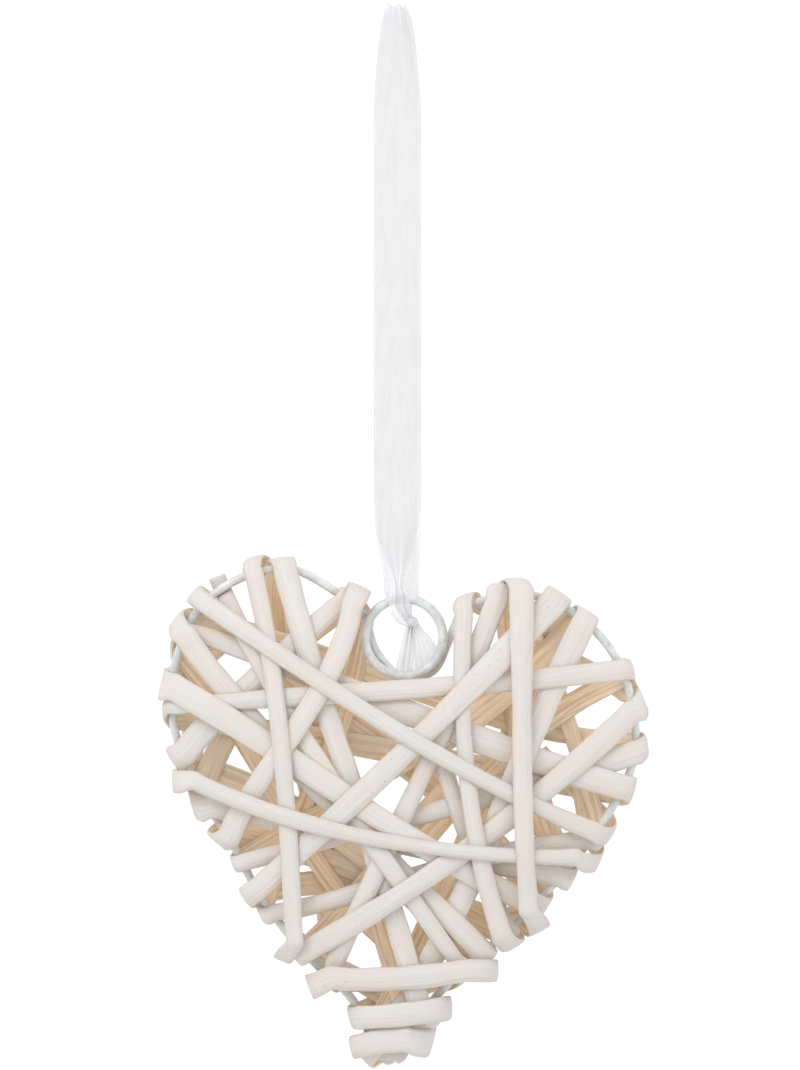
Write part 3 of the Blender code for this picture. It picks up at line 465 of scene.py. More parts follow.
def beside(outline, plan, u):
    """The places along the wire beside plan points, and how far out of the heart the points lie.

    The search starts at u and goes half of the way in each turn."""
    for _ in range(SEARCH_TURNS):
        u = u + ((plan - outline.at(u)) * outline.direction(u)).sum(-1) / 2
    return u, ((plan - outline.at(u)) * outline.outward(u)).sum(-1)


def fold_points(outline, fold):
    """The edges of a fold round the wire, with its shares from front to back, brink points and middle."""
    angle = np.linspace(FOLD_LEAN, math.pi - FOLD_LEAN, FOLD_STEPS + 1)
    share = ((angle - FOLD_LEAN) / (math.pi - 2 * FOLD_LEAN))[:, None]
    rise = np.where(angle < math.pi / 2, fold[FRONT], fold[BACK]) * np.cos(angle)
    pull = np.array([FRONT_PULL, 1 - FRONT_PULL])
    line = np.array([LINE_PULL, 1 - LINE_PULL]) @ fold["line"]
    line = line / np.linalg.norm(line)
    half = sum(fold["half"]) / 2
    reach = fold["out"] + half * abs(line @ outline.outward(pull @ fold["u"]))
    u = pull @ (fold["u"] + fold["slant"] * reach)
    middle = outline.at(u) + reach * outline.outward(u)
    edges, brinks = [], []
    for k, way in enumerate((-1, 1)):
        a, b = fold["edges"][0][k], fold["edges"][1][k]
        brink = middle + way * half * line
        plan = a * (1 - share) + b * share + np.sin(angle)[:, None] * (brink - (a + b) / 2)
        edges.append(np.column_stack([plan, rise]))
        brinks.append((a, brink, b))
    return edges, share[:, 0], brinks, u


def fold_samples(outline, fold, face):
    """Points spread over the fold's outer face, 1, or inner face, -1, with their places round the wire."""
    (left, right), share, brinks, u = fold_points(outline, fold)
    points, weights = samples(left, right, *FOLD_GRID)
    along, away = beside(outline, points[..., :2], np.full(points.shape[:2], u))
    v = np.linspace(0, 1, FOLD_GRID[1])[:, None]
    marks = [a * (1 - v) + b * v for a, b in zip(*brinks)]
    front, brink, back = (beside(outline, mark, np.full(len(v), u))[1] for mark in marks)
    turned = (weights @ share)[:, None]
    centre = front * (1 - turned) + back * turned
    wide = np.maximum(brink - centre, WIRE_RADIUS)
    height = points[..., 2]
    steep = wide**2 / np.where(height > 0, fold[FRONT], fold[BACK]) ** 2 * height
    slant = np.hypot(away - centre, steep)
    offset = face * STRIP_THICKNESS / 2
    height = height + offset * steep / slant
    away = away + offset * (away - centre) / slant
    return {
        "plan": outline.at(along) + away[..., None] * outline.outward(along),
        "height": height,
        "radius": np.hypot(away, height),
        "along": along,
        "angle": np.arctan2(away, height),
        "facing": steep / slant,
    }


def fold_cells(face, spread):
    """The cells of the folds' table, by place along the wire and angle round it, under a face's points."""
    place = np.mod(np.rint(face["along"] / CELL).astype(int), spread)
    return place, np.clip((face["angle"] / math.pi * FOLD_ANGLES).astype(int), 0, FOLD_ANGLES - 1)


class Weave:
    """All crossings and folds, settled so that no strip touches another."""

    def __init__(self, outline):
        self.outline = outline
        self.form = plump_form(outline)
        self.strips = []
        self.folds = []
        for side, *rows in WEAVE:
            chain, folds = [], []
            for row in rows:
                chain.append(crossing(outline, self.form, side, row))
                side = -side
            for one, two in zip(chain, chain[1:]):
                to_back = one["side"] == FRONT
                ends = (one["ends"][1], two["ends"][0]) if to_back else (two["ends"][0], one["ends"][1])
                fold = {key: np.array([end[key] for end in ends]) for key in ends[0]}
                fold["u"][1] += round((fold["u"][0] - fold["u"][1]) / outline.length) * outline.length
                fold.update({FRONT: FIRST_FOLD, "out": FIRST_FOLD, BACK: FIRST_FOLD, "to_back": to_back})
                fold["least"] = {FRONT: FIRST_FOLD, BACK: FIRST_FOLD}
                fold["rank"] = (one if to_back else two)["layer"]
                one["folds"].append((fold, len(one["lift"]) - 1))
                two["folds"].append((fold, 0))
                folds.append(fold)
            self.strips.append((chain, folds))
            self.folds += folds
        self.crossings = [c for chain, _ in self.strips for c in chain]

    def lay(self, side, obstacle, loose):
        """Lays the crossings of one side in their order, with their folds loose or held."""
        low, high = self.outline.points.min(0) - MARGIN, self.outline.points.max(0) + MARGIN
        ground = Field(low, high, CELL, CLEARANCE / 2)
        u = np.arange(0, self.outline.length, CELL)
        for part in np.linspace(-1, 1, WIRE_ROWS):
            near = self.outline.at(u) + part * WIRE_RADIUS * self.outline.outward(u)
            ground.raise_to(near, np.full(len(u), WIRE_RADIUS * math.sqrt(1 - part * part)))
        if obstacle is not None:
            ground.raise_to(*obstacle)
        if side == BACK:
            for c in self.crossings:
                if c["behind"]:
                    self.lay_down(ground, c, slice(STUB_STATIONS), -1)
        here = [c for c in self.crossings if c["side"] == side]
        for c in sorted(here, key=lambda c: c["layer"]):
            before = Field(low, high, CELL, ground.data)
            self.settle(c, before, loose)
            self.lay_down(ground, c, slice(None), 1)
            for fold, _ in c["folds"]:
                if loose:
                    self.clear_fold(fold, before, side)
            for fold, _ in c["folds"]:
                face = fold_samples(self.outline, fold, 1)
                height = face["height"] * side
                use = height > 0
                ground.raise_to(face["plan"][use], height[use])

    def lay_down(self, ground, c, stations, sign):
        """Raises the ground to the outer face of a crossing."""
        left, right = raised(c, heights(c))
        points, _ = samples(left[stations], right[stations], *GROUND_GRID)
        ground.raise_to(points[..., :2], sign * points[..., 2] + HALF_THICK)

    def settle(self, c, ground, loose):
        """Finds the lifts of one crossing, and where its folds begin if they are loose."""
        side = c["side"]
        points, weights = samples(*raised(c, c["swell"]), *SETTLE_GRID)
        needs = (ground.highest_near(points[..., :2]) + LAY_GAP + HALF_THICK - points[..., 2]).max(1)
        held, least = [], []
        if c["behind"]:
            stub = [k for k in range(len(c["lift"]) // 2) if self.depth(c["centre"][k]) < STUB_DEPTH]
            held += [(k, -FIRST_FOLD - c["swell"][k].mean()) for k in stub]
            free = weights[:, stub].sum(1) < NEARLY
            weights, needs = weights[free], needs[free]
        for fold, k in c["folds"]:
            level = fold["least"][side] if loose else fold[side]
            (least if loose else held).append((k, level / math.cos(FOLD_LEAN) - c["swell"][k].mean()))
        c["lift"] = bend(c, needs, weights, held, least)
        for fold, k in c["folds"]:
            if loose:
                level = c["lift"][k] + c["swell"][k].mean()
                fold[side] = max(fold["least"][side], level * math.cos(FOLD_LEAN))

    def depth(self, point):
        """How far a plan point lies inside the wire's line."""
        distance = np.linalg.norm(self.outline.points - point, axis=1).min()
        return distance if inside(*point[:, None], self.outline.points)[0] else -distance

    def clear_fold(self, fold, ground, side):
        """Widens a fold where it comes too near what lies under it on one side."""
        face = fold_samples(self.outline, fold, -1)
        use = face["facing"] * side > FACING_LEAST
        gap = ground.highest_near(face["plan"][use]) + LAY_GAP - face["height"][use] * side
        short = float(gap.max(initial=0))
        if short > 0:
            fold["least"][side] = fold[side] = max(fold["least"][side], fold[side]) + short

    def stack_folds(self):
        """Widens the folds so that each clears the wire and the folds under it."""
        spread = int(self.outline.length / CELL) + 1
        table = np.full((spread, FOLD_ANGLES), WIRE_RADIUS)
        for fold in sorted(self.folds, key=lambda f: f["rank"]):
            fold["out"] = FIRST_FOLD
            wide = np.maximum(table, np.maximum(np.roll(table, 1, 0), np.roll(table, -1, 0)))
            for _ in range(STACK_TURNS):
                face = fold_samples(self.outline, fold, -1)
                gap = wide[fold_cells(face, spread)] + LAY_GAP - face["radius"]
                if gap.max() <= NEARLY:
                    break
                gap = np.maximum(gap, 0)
                facing = face["facing"]
                fold["out"] += float((gap * np.sqrt(1 - facing**2)).max())
                for side in (FRONT, BACK):
                    more = float((gap * np.maximum(0, side * facing)).max())
                    if more > NEARLY:
                        fold[side] += more
                        fold["least"][side] = max(fold["least"][side], fold[side])
            face = fold_samples(self.outline, fold, 1)
            i, j = fold_cells(face, spread)
            for shift in (-1, 0, 1):
                near = np.clip(j + shift, 0, FOLD_ANGLES - 1)
                np.maximum.at(table, (i.ravel(), near.ravel()), face["radius"].ravel())

    def solve(self, obstacle):
        """Settles the weave in a few rounds, the last with the folds held."""
        for _ in range(ROUNDS):
            self.lay(FRONT, obstacle, True)
            self.lay(BACK, None, True)
            self.stack_folds()
        self.lay(FRONT, obstacle, False)
        self.lay(BACK, None, False)

    def edges(self, chain, folds):
        """The left and right edge points of a whole strip, in the part's frame."""
        lines = [], []
        for c, fold in zip(chain, folds + [None]):
            level = -c["side"] * heights(c)
            for k, line in enumerate(lines):
                line.append(stand_up(c["edges"][k], level[:, k]))
            if fold:
                order = slice(None) if fold["to_back"] else slice(None, None, -1)
                for line, edge in zip(lines, fold_points(self.outline, fold)[0]):
                    line.append(stand_up(edge, -edge[:, 2])[order])
        return [np.vstack(line) for line in lines]


def move_to_heart(points):
    """Puts points of the heart's own plane where the heart hangs."""
    drop = HANGING_DROP + RING_RADIUS + RING_WIRE_RADIUS + CLEARANCE
    return points + np.array([RING_TO_LOOP_OFFSET, 0.0, -drop])


def ring_stand():
    """How far the ring's plane stands in front of the heart's plane."""
    return WIRE_RADIUS + CLEARANCE + RING_WIRE_RADIUS


def ring_obstacle():
    """Points over the ring's front in the heart's own plane, with their heights."""
    round_ring = np.linspace(0, 2 * math.pi, RING_GRID[0])[:, None]
    across = np.linspace(-1, 1, RING_GRID[1])[None, :]
    radius = RING_RADIUS + across * RING_WIRE_RADIUS
    rise = RING_RADIUS + RING_WIRE_RADIUS + CLEARANCE
    plan = np.stack([radius * np.cos(round_ring), radius * np.sin(round_ring) + rise], -1)
    height = ring_stand() + RING_WIRE_RADIUS * np.sqrt(1 - across**2) + 0 * round_ring
    return plan, height


def flow(values, s, t):
    """The values at the distances t, on a smooth curve through those at the distances s."""
    slope = np.gradient(values, s, axis=0)
    i = np.clip(np.searchsorted(s, t, side="right") - 1, 0, len(s) - 2)
    h = (s[i + 1] - s[i])[:, None]
    f = (t - s[i])[:, None] / h
    return (
        values[i] * (1 + 2 * f) * (1 - f) ** 2
        + slope[i] * h * f * (1 - f) ** 2
        + values[i + 1] * f * f * (3 - 2 * f)
        - slope[i + 1] * h * f * f * (1 - f)
    )


def ripple(t, size, wavelength, rng):
    """A smooth random wave of about this size."""
    total = np.zeros(len(t))
    for _ in range(4):
        length = wavelength * rng.uniform(0.6, 1.8)
        total += np.sin(2 * math.pi * (t / length + rng.uniform())) / 2
    return size * total


def mesh_piece(name, points, faces, made):
    """An object from points and faces, riding on the part."""
    mesh = bpy.data.meshes.new(name)
    mesh.from_pydata(points.tolist(), [], faces)
    mesh.materials.append(made)
    mesh.shade_smooth()
    piece = bpy.data.objects.new(name, mesh)
    bpy.context.scene.collection.objects.link(piece)
    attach(piece, "root")
    return piece


def grid_faces(rows, columns, closed_rows=False, closed_columns=False):
    """The quads of a grid of points, given row by row."""
    faces = []
    for i in range(rows if closed_rows else rows - 1):
        for j in range(columns if closed_columns else columns - 1):
            a, b = i * columns + j, i * columns + (j + 1) % columns
            c, d = (i + 1) % rows * columns + (j + 1) % columns, (i + 1) % rows * columns + j
            faces.append((a, b, c, d))
    return faces


def put_uv(mesh, uv):
    """Writes the texture coordinates of each point."""
    layer = mesh.uv_layers.new(name="grain")
    corner = np.empty(len(mesh.loops), dtype=np.int32)
    mesh.loops.foreach_get("vertex_index", corner)
    layer.data.foreach_set("uv", uv[corner].astype(np.float32).ravel())


def put_value(mesh, name, values):
    """Writes one number for each point."""
    layer = mesh.attributes.new(name, "FLOAT", "POINT")
    layer.data.foreach_set("value", values.astype(np.float32))


# Materials


class Nodes:
    """A material's nodes, made in order."""

    def __init__(self, name):
        self.made = bpy.data.materials.new(name)
        self.made.use_nodes = True
        self.tree = self.made.node_tree
        self.shader = self.tree.nodes["Principled BSDF"]

    def add(self, kind, sockets=None, **settings):
        node = self.tree.nodes.new("ShaderNode" + kind)
        for key, value in settings.items():
            setattr(node, key, value)
        for key, value in (sockets or {}).items():
            self.feed(node, key, value)
        return node

    def feed(self, node, key, value):
        """Links a socket or sets its value."""
        if isinstance(value, bpy.types.NodeSocket):
            self.tree.links.new(value, node.inputs[key])
        else:
            node.inputs[key].default_value = value

    def attribute(self, name):
        return self.add("Attribute", attribute_name=name).outputs["Fac"]

    def noise(self, vector, scale, detail=3, rough=0.55):
        sockets = {"Vector": vector, "Scale": scale, "Detail": detail, "Roughness": rough}
        return self.add("TexNoise", sockets).outputs["Fac"]

    def grain(self, uv, along, across, detail=3, rough=0.55):
        """A noise with its own scale along and across a strip."""
        stretched = self.add("Mapping", {"Vector": uv, "Scale": (along, across, 1)})
        return self.noise(stretched.outputs["Vector"], 1, detail, rough)

    def ramp(self, value, low, high, to_low=0, to_high=1):
        """A smooth step of the value."""
        sockets = {"Value": value, "From Min": low, "From Max": high, "To Min": to_low, "To Max": to_high}
        return self.add("MapRange", sockets, interpolation_type="SMOOTHSTEP").outputs["Result"]

    def mix(self, share, a, b):
        return self.add("Mix", {0: share, 6: a, 7: b}, data_type="RGBA").outputs[2]

    def math(self, operation, a, b):
        return self.add("Math", {0: a, 1: b}, operation=operation).outputs[0]

    def bump(self, height, strength, distance, normal=None):
        sockets = {"Height": height, "Strength": strength, "Distance": distance}
        if normal:
            sockets["Normal"] = normal
        return self.add("Bump", sockets).outputs["Normal"]

    def finished(self, sockets):
        """The material, with the shader's sockets fed."""
        for key, value in sockets.items():
            self.feed(self.shader, key, value)
        return self.made


# Colours
CREAM = (0.657, 0.626, 0.586, 1)
PINK = (0.676, 0.616, 0.566, 1)
CHALK = (0.672, 0.663, 0.648, 1)
SPECK = (0.42, 0.40, 0.35, 1)
STREAK = (0.55, 0.50, 0.42, 1)
PEACH = (0.72, 0.57, 0.43, 1)
BARE = (0.98, 0.79, 0.57, 1)
BARE_DARK = (0.72, 0.51, 0.31, 1)
BARE_PALE = (0.98, 0.87, 0.72, 1)
PAINT = (0.57, 0.60, 0.605, 1)
PAINT_PALE = (0.70, 0.715, 0.71, 1)
PAINT_CHIP = (0.24, 0.255, 0.26, 1)
SHEER = (0.615, 0.61, 0.635, 1)
SHEER_THICK = (0.85, 0.845, 0.885, 1)

# Scales of the grains along and across a strip and of the blotches, and heights of the relief
FINE_GRAIN = (260, 22)
BROAD_GRAIN = (38, 6)
SPECK_GRAIN = (900, 14)
THREAD_GRAIN = (50, 20)
PALE_GRAIN = (60, 5)
SLUB_GRAIN = (120, 900)
PATCHES = 120
CLOUDS = 45
PAINT_CLOUDS = 300
PAINT_CHIPS = 700
PAINT_LUMPS = 600
ORGANZA_THREADS = 700
ROUND_HEIGHT = 0.0016
GRAIN_HEIGHT = 0.00028
PAINT_HEIGHT = 0.00012
THREAD_HEIGHT = 0.00008


def willow_material():
    """Split willow: a chalky whitewash outside, peach at the rims for wear and painted shade, bare wood
    inside, and long grain.
    """
    n = Nodes("whitewashed_willow")
    uv = n.add("UVMap", uv_map="grain").outputs["UV"]
    where = n.add("TexCoord").outputs["Object"]
    outside, rim = n.attribute("outside"), n.attribute("rim")
    fine = n.grain(uv, *FINE_GRAIN, 4, 0.6)
    streak = n.grain(uv, *BROAD_GRAIN)
    patch = n.noise(where, PATCHES, 2)
    cloud = n.noise(where, CLOUDS, 1)
    wash = n.mix(n.ramp(patch, 0.40, 0.62), CREAM, PINK)
    wash = n.mix(n.ramp(streak, 0.48, 0.66, 0, 0.8), wash, CHALK)
    marks = n.ramp(n.grain(uv, *SPECK_GRAIN), 0.63, 0.70)
    wash = n.mix(n.math("MULTIPLY", marks, n.ramp(cloud, 0.50, 0.64, 0, 0.8)), wash, SPECK)
    threads = n.ramp(n.grain(uv, *THREAD_GRAIN, 5, 0.7), 0.55, 0.64)
    wash = n.mix(n.math("MULTIPLY", threads, n.ramp(cloud, 0.47, 0.60, 0.05, 0.6)), wash, STREAK)
    # Peach in patches at the strip rims: partly wear that shows the wood, partly painted warm shade toward
    # the edges where strips meet
    rim_wear_and_shade = n.math("MULTIPLY", n.ramp(rim, 0.3, 1), n.ramp(patch, 0.42, 0.62, 0.10, 0.65))
    wash = n.mix(rim_wear_and_shade, wash, PEACH)
    bare = n.mix(n.ramp(streak, 0.35, 0.60), BARE_DARK, BARE)
    bare = n.mix(n.ramp(n.grain(uv, *PALE_GRAIN), 0.45, 0.60, 0.1, 0.9), bare, BARE_PALE)
    bare = n.mix(n.ramp(patch, 0.50, 0.64, 0, 0.35), bare, CHALK)
    cover = n.ramp(n.math("ADD", outside, n.math("MULTIPLY", streak, 0.35)), 0.50, 0.85)
    across = n.add("SeparateXYZ", {"Vector": uv}).outputs["Y"]
    crown = n.math("MULTIPLY", n.math("MULTIPLY", across, n.math("SUBTRACT", 1, across)), outside)
    height = n.math("ADD", n.math("MULTIPLY", fine, 0.5), streak)
    return n.finished({
        "Base Color": n.mix(cover, bare, wash),
        "Roughness": n.ramp(fine, 0.3, 0.7, 0.55, 0.75),
        "Specular IOR Level": 0.35,
        "Normal": n.bump(height, 0.7, GRAIN_HEIGHT, n.bump(crown, 1, ROUND_HEIGHT)),
    })


def wire_material():
    """White satin paint on wire, worn thin and chipped to grey."""
    n = Nodes("painted_wire")
    where = n.add("TexCoord").outputs["Object"]
    cloud = n.noise(where, PAINT_CLOUDS, 4, 0.6)
    colour = n.mix(n.ramp(cloud, 0.38, 0.62), PAINT, PAINT_PALE)
    chips = n.ramp(n.noise(where, PAINT_CHIPS, 3, 0.65), 0.60, 0.68)
    return n.finished({
        "Base Color": n.mix(n.math("MULTIPLY", chips, 0.35), colour, PAINT_CHIP),
        "Roughness": n.ramp(cloud, 0.3, 0.7, 0.25, 0.45),
        "Coat Weight": 0.2,
        "Coat Roughness": 0.2,
        "Normal": n.bump(n.noise(where, PAINT_LUMPS), 0.3, PAINT_HEIGHT),
    })


def ribbon_material():
    """Sheer organza: fine crossed threads, closer where it is gathered and at the selvedges."""
    n = Nodes("sheer_organza")
    uv = n.add("UVMap", uv_map="grain").outputs["UV"]
    sockets = {"Vector": uv, "Scale": ORGANZA_THREADS, "Distortion": 0.5, "Detail": 1}
    along, across = (n.add("TexWave", sockets, bands_direction=way).outputs["Fac"] for way in "XY")
    slub = n.grain(uv, *SLUB_GRAIN)
    rim, gather = n.attribute("rim"), n.attribute("gather")
    weave = n.math("MULTIPLY", along, across)
    layer = n.math("ADD", n.math("MULTIPLY", weave, 0.10), n.ramp(slub, 0.35, 0.65, 0.27, 0.37))
    layer = n.math("SUBTRACT", layer, n.ramp(rim, 0.90, 0.93, 0, 0.12))
    layer = n.math("ADD", layer, n.ramp(rim, 0.955, 0.975, 0, 0.34))
    return n.finished({
        "Base Color": n.mix(n.ramp(gather, 1.1, 2.3), SHEER, SHEER_THICK),
        "Roughness": 0.45,
        "Specular IOR Level": 0.3,
        "Sheen Weight": 0.15,
        "Sheen Roughness": 0.4,
        "Alpha": n.math("SUBTRACT", 1, n.math("POWER", n.math("SUBTRACT", 1, layer), gather)),
        "Normal": n.bump(n.math("ADD", weave, slub), 0.3, THREAD_HEIGHT),
    })


# The willow strips


SECTION_STEPS = 14
INNER_PLACES = (0.90, 0.45, 0, -0.45, -0.90)
INNER_SHAPE = (1, 0.9, 0.8, 0.9, 1)
CROWN = 0.00056
RIM_HEIGHT = 0.00002
INNER_DEPTH = 0.00024
RIDGE_HEIGHT = 0.000035
CROWN_POWER = 0.75
CUT_LENGTH = 0.0006
CUT_SLANT = 0.5
CUT_RAGS = 0.16
STRIP_SPACING = 0.0006
GRAIN_SHIFT = 0.9
RIM_START = 0.72

# Waves along a strip, by their size and their length
WIDTH_WAVE = (0.05, 0.045)
FINE_WIDTH_WAVE = (0.02, 0.012)
SHIFT_WAVE = (0.05, 0.06)
CROWN_WAVE = (0.22, 0.05)
RIDGE_WAVE = (1, 0.03)


def skein(name, left, right, number, made):
    """A half-round split between two lines of edge points, with a cut at each end."""
    rng = np.random.default_rng(100 + number)
    middle = (left + right) / 2
    s = distances(middle)
    keep = np.concatenate([[True], np.diff(s) > NEARLY])
    left, right, s = left[keep], right[keep], s[keep]
    t = np.linspace(0, s[-1], int(s[-1] / STRIP_SPACING) + 1)
    lines = flow(np.hstack([left, right]), s, t)
    left, right = lines[:, :3], lines[:, 3:]
    middle = (left + right) / 2
    cross = (right - left) / 2
    along = unit(np.gradient(middle, t, axis=0))
    out = unit(np.cross(cross, along))
    wide = 1 + ripple(t, *WIDTH_WAVE, rng) + ripple(t, *FINE_WIDTH_WAVE, rng)
    shift = ripple(t, *SHIFT_WAVE, rng)
    crown = CROWN * (1 + ripple(t, *CROWN_WAVE, rng))
    angle = np.linspace(0, math.pi, SECTION_STEPS + 1)
    flat = np.zeros(len(INNER_PLACES))
    v = np.concatenate([-np.cos(angle), INNER_PLACES])
    rise = np.concatenate([np.sin(angle) ** CROWN_POWER, flat])
    inner = np.concatenate([np.zeros(SECTION_STEPS + 1), INNER_SHAPE])
    ridges = np.concatenate([rng.uniform(-1, 1, SECTION_STEPS + 1), flat])
    ridges[0] = ridges[SECTION_STEPS] = 0
    wander = ripple(t, *RIDGE_WAVE, rng)
    points = []
    for k in range(len(t)):
        across = (v * wide[k] + shift[k] * (1 - v * v))[:, None] * cross[k]
        height = RIM_HEIGHT + crown[k] * rise - INNER_DEPTH * inner
        height = height + RIDGE_HEIGHT * ridges * np.sin(3 * wander[k] + 5 * v)
        points.append(middle[k] + across + height[:, None] * out[k])
    points = np.array(points)
    for row, way in ((0, -1), (-1, 1)):
        slant = rng.uniform(-CUT_SLANT, CUT_SLANT) * v + rng.uniform(-CUT_RAGS, CUT_RAGS, len(v))
        points[row] += way * slant[:, None] * CUT_LENGTH * along[row]
    rows, columns = len(t), len(v)
    faces = grid_faces(rows, columns, closed_columns=True)
    faces.append(tuple(range(columns))[::-1])
    faces.append(tuple((rows - 1) * columns + j for j in range(columns)))
    piece = mesh_piece(name, points.reshape(-1, 3), faces, made)
    spot = np.stack([np.repeat(t, columns) + GRAIN_SHIFT * number, np.tile(v * 0.5 + 0.5, rows)], 1)
    put_uv(piece.data, spot)
    outside = np.where(np.arange(columns) <= SECTION_STEPS, 1.0, 0.0)
    put_value(piece.data, "outside", np.tile(outside, rows))
    rim = np.clip((np.abs(v) - RIM_START) / (1 - RIM_START), 0, 1) * outside
    put_value(piece.data, "rim", np.tile(rim, rows))
    return piece


def weave_strips(outline, made):
    """All nine strips, woven fine."""
    weave = Weave(outline)
    weave.solve(ring_obstacle())
    for number, strip in enumerate(weave.strips, 1):
        node = "willow_strip_" + str(number)
        left, right = (move_to_heart(edge) for edge in weave.edges(*strip))
        piece = skein("willow_split_" + str(number), left, right, number, made)
        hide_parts(node)


# The wire and the ring


WIRE_GRID = (900, 20)
RING_BAR_GRID = (240, 24)
PAINT_WAVES = 29
PAINT_UNEVEN = 0.02


def round_bar(name, points, outward, radius, made, sides, seed):
    """A closed round bar along points in a plane that faces Y, with uneven paint."""
    rng = np.random.default_rng(seed)
    along = distances(np.vstack([points, points[:1]]))
    t, total = along[:-1], along[-1]
    swell = np.zeros(len(t))
    for k in range(1, PAINT_WAVES + 1):
        swell += rng.normal() * np.sin(2 * math.pi * (k * 5 * t / total + rng.uniform())) / 6
    angle = np.linspace(0, 2 * math.pi, sides, endpoint=False)
    cosine, sine = np.cos(angle)[None, :, None], np.sin(angle)[None, :, None]
    ring = outward[:, None, :] * cosine + np.array([0, -1.0, 0]) * sine
    size = radius * (1 + PAINT_UNEVEN * swell)
    body = points[:, None, :] + ring * size[:, None, None]
    return mesh_piece(name, body.reshape(-1, 3), grid_faces(len(t), sides, True, True), made)


def wires(outline, made):
    """The heart's wire and the ring, smooth and painted."""
    steps, sides = WIRE_GRID
    u = np.linspace(0, outline.length, steps, endpoint=False)
    flat = np.zeros(steps)
    out = outline.outward(u)
    outward = stand_up(unit(sum(np.roll(out, k, axis=0) for k in range(-3, 4))), flat)
    points = move_to_heart(stand_up(outline.at(u), flat))
    bar = round_bar("heart_wire", points, outward, WIRE_RADIUS, made, sides, 1)
    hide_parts("frame_wire")
    steps, sides = RING_BAR_GRID
    angle = np.linspace(0, 2 * math.pi, steps, endpoint=False)
    outward = np.column_stack([np.cos(angle), np.zeros(steps), np.sin(angle)])
    points = np.array([RING_TO_LOOP_OFFSET, -ring_stand(), -HANGING_DROP]) + RING_RADIUS * outward
    ring = round_bar("hanging_ring", points, outward, RING_WIRE_RADIUS, made, sides, 2)
    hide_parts("ring")


# The ribbon


PIXEL = 0.0002075
LOOP_TOP_PIXEL = (397, 4)
RIBBON_STEP = 0.0006
RIBBON_COLUMNS = 49
PLEAT_DEPTH = 0.7
GATHER_SHARE = 0.85

# The ribbon's stations from the top of the loop down, in the photograph's pixels: place across and down,
# depth to the back in mm, width, tilt of the width in degrees, and number of pleats
FRONT_LEG = (
    (396, 4.6, 0, 19, 0, 2), (396, 8, -0.3, 22, 0, 2), (396.5, 16, -0.7, 28, 0, 1.8),
    (396.8, 26, -0.9, 31.5, 0, 1.5), (397, 40, -1, 36, 0, 1.2), (397, 60, -1, 40, 0, 1),
    (397.4, 100, -0.9, 46, 0, 1), (397.5, 150, -0.7, 47, 0, 1), (397.5, 300, -0.5, 47, 0, 1),
    (397.5, 440, -0.5, 47, 0, 1), (397.5, 500, -0.6, 46.5, 0, 1), (396.5, 530, -1, 41, 0, 1),
    (397.2, 552, -1.7, 31, 0, 1.5), (398, 575, -2.6, 21, 0, 2.5), (398.2, 588, -3.4, 15, 0, 3),
    (399.5, 598, -3.8, 20, -4, 3), (400, 606, -4.1, 22, -14, 3), (402, 613, -3.9, 22, -30, 3),
    (406, 619, -3.4, 17, -45, 3), (411, 623, -2.8, 10, -55, 3),
)
BACK_LEG = (
    (396, 8, 0.3, 21, 0, 2), (396.5, 16, 0.7, 27, 0, 1.8), (396.8, 26, 0.9, 31, 0, 1.5),
    (397, 40, 1, 35.5, 0, 1.2), (397, 60, 1, 40, 0, 1), (397.4, 100, 0.9, 46, 0, 1),
    (397.5, 150, 0.7, 47, 0, 1), (397.5, 300, 0.4, 47, 0, 1), (397.5, 440, 0.3, 47, 0, 1),
    (398.2, 500, 0.3, 46, 0, 1), (398.5, 540, 0.2, 43, 0, 1), (400.5, 565, 0, 37.5, 0, 1),
    (401.3, 582, -0.4, 34.5, 0, 1.5), (401.8, 596, -0.7, 32, 0, 2), (403.5, 606, -0.9, 18, -8, 3),
    (407, 614, -1.4, 11, -25, 3), (411, 621, -2.1, 8, -40, 3),
)
PALE_TAIL = (
    (410, 628, -2.6, 10, 0, 3), (408.5, 640, -2.2, 12, 2, 3), (407, 651, -1.6, 14, 3, 3),
    (405.5, 662, -0.7, 16, 3, 3), (404.5, 673, 0.6, 18, 3, 3), (404, 681, 1.4, 19, 3, 3),
)
PLEATED_TAIL = (
    (415.5, 628, -2.2, 12, -12, 5), (420.5, 638, -1.9, 18, -20, 5), (424, 648, -1.4, 24, -28, 5),
    (426.5, 658, -0.5, 30, -34, 5), (428, 667, 0.9, 35, -38, 5),
)

# The knot's place and half length in pixels, its tilt, grid, gathers and shape
KNOT = (412, 622)
KNOT_SIZE = 5.6
KNOT_TILT = -50
KNOT_GRID = (11, 28)
KNOT_GATHER = 2.5
KNOT_DEPTH = 1.1
KNOT_TAPER = 0.35
KNOT_FOLDS = 0.07
KNOT_CREASES = 0.06
PLEAT_SKEW = 1.5
PLEAT_WAVE = (0.35, 0.03)
RUFFLE_WAVE = (0.00008, 0.02)


def from_pixels(x, y, depth):
    """A point at a place in the photograph and a depth in metres."""
    return np.array([(x - LOOP_TOP_PIXEL[0]) * PIXEL, depth, (LOOP_TOP_PIXEL[1] - y) * PIXEL])


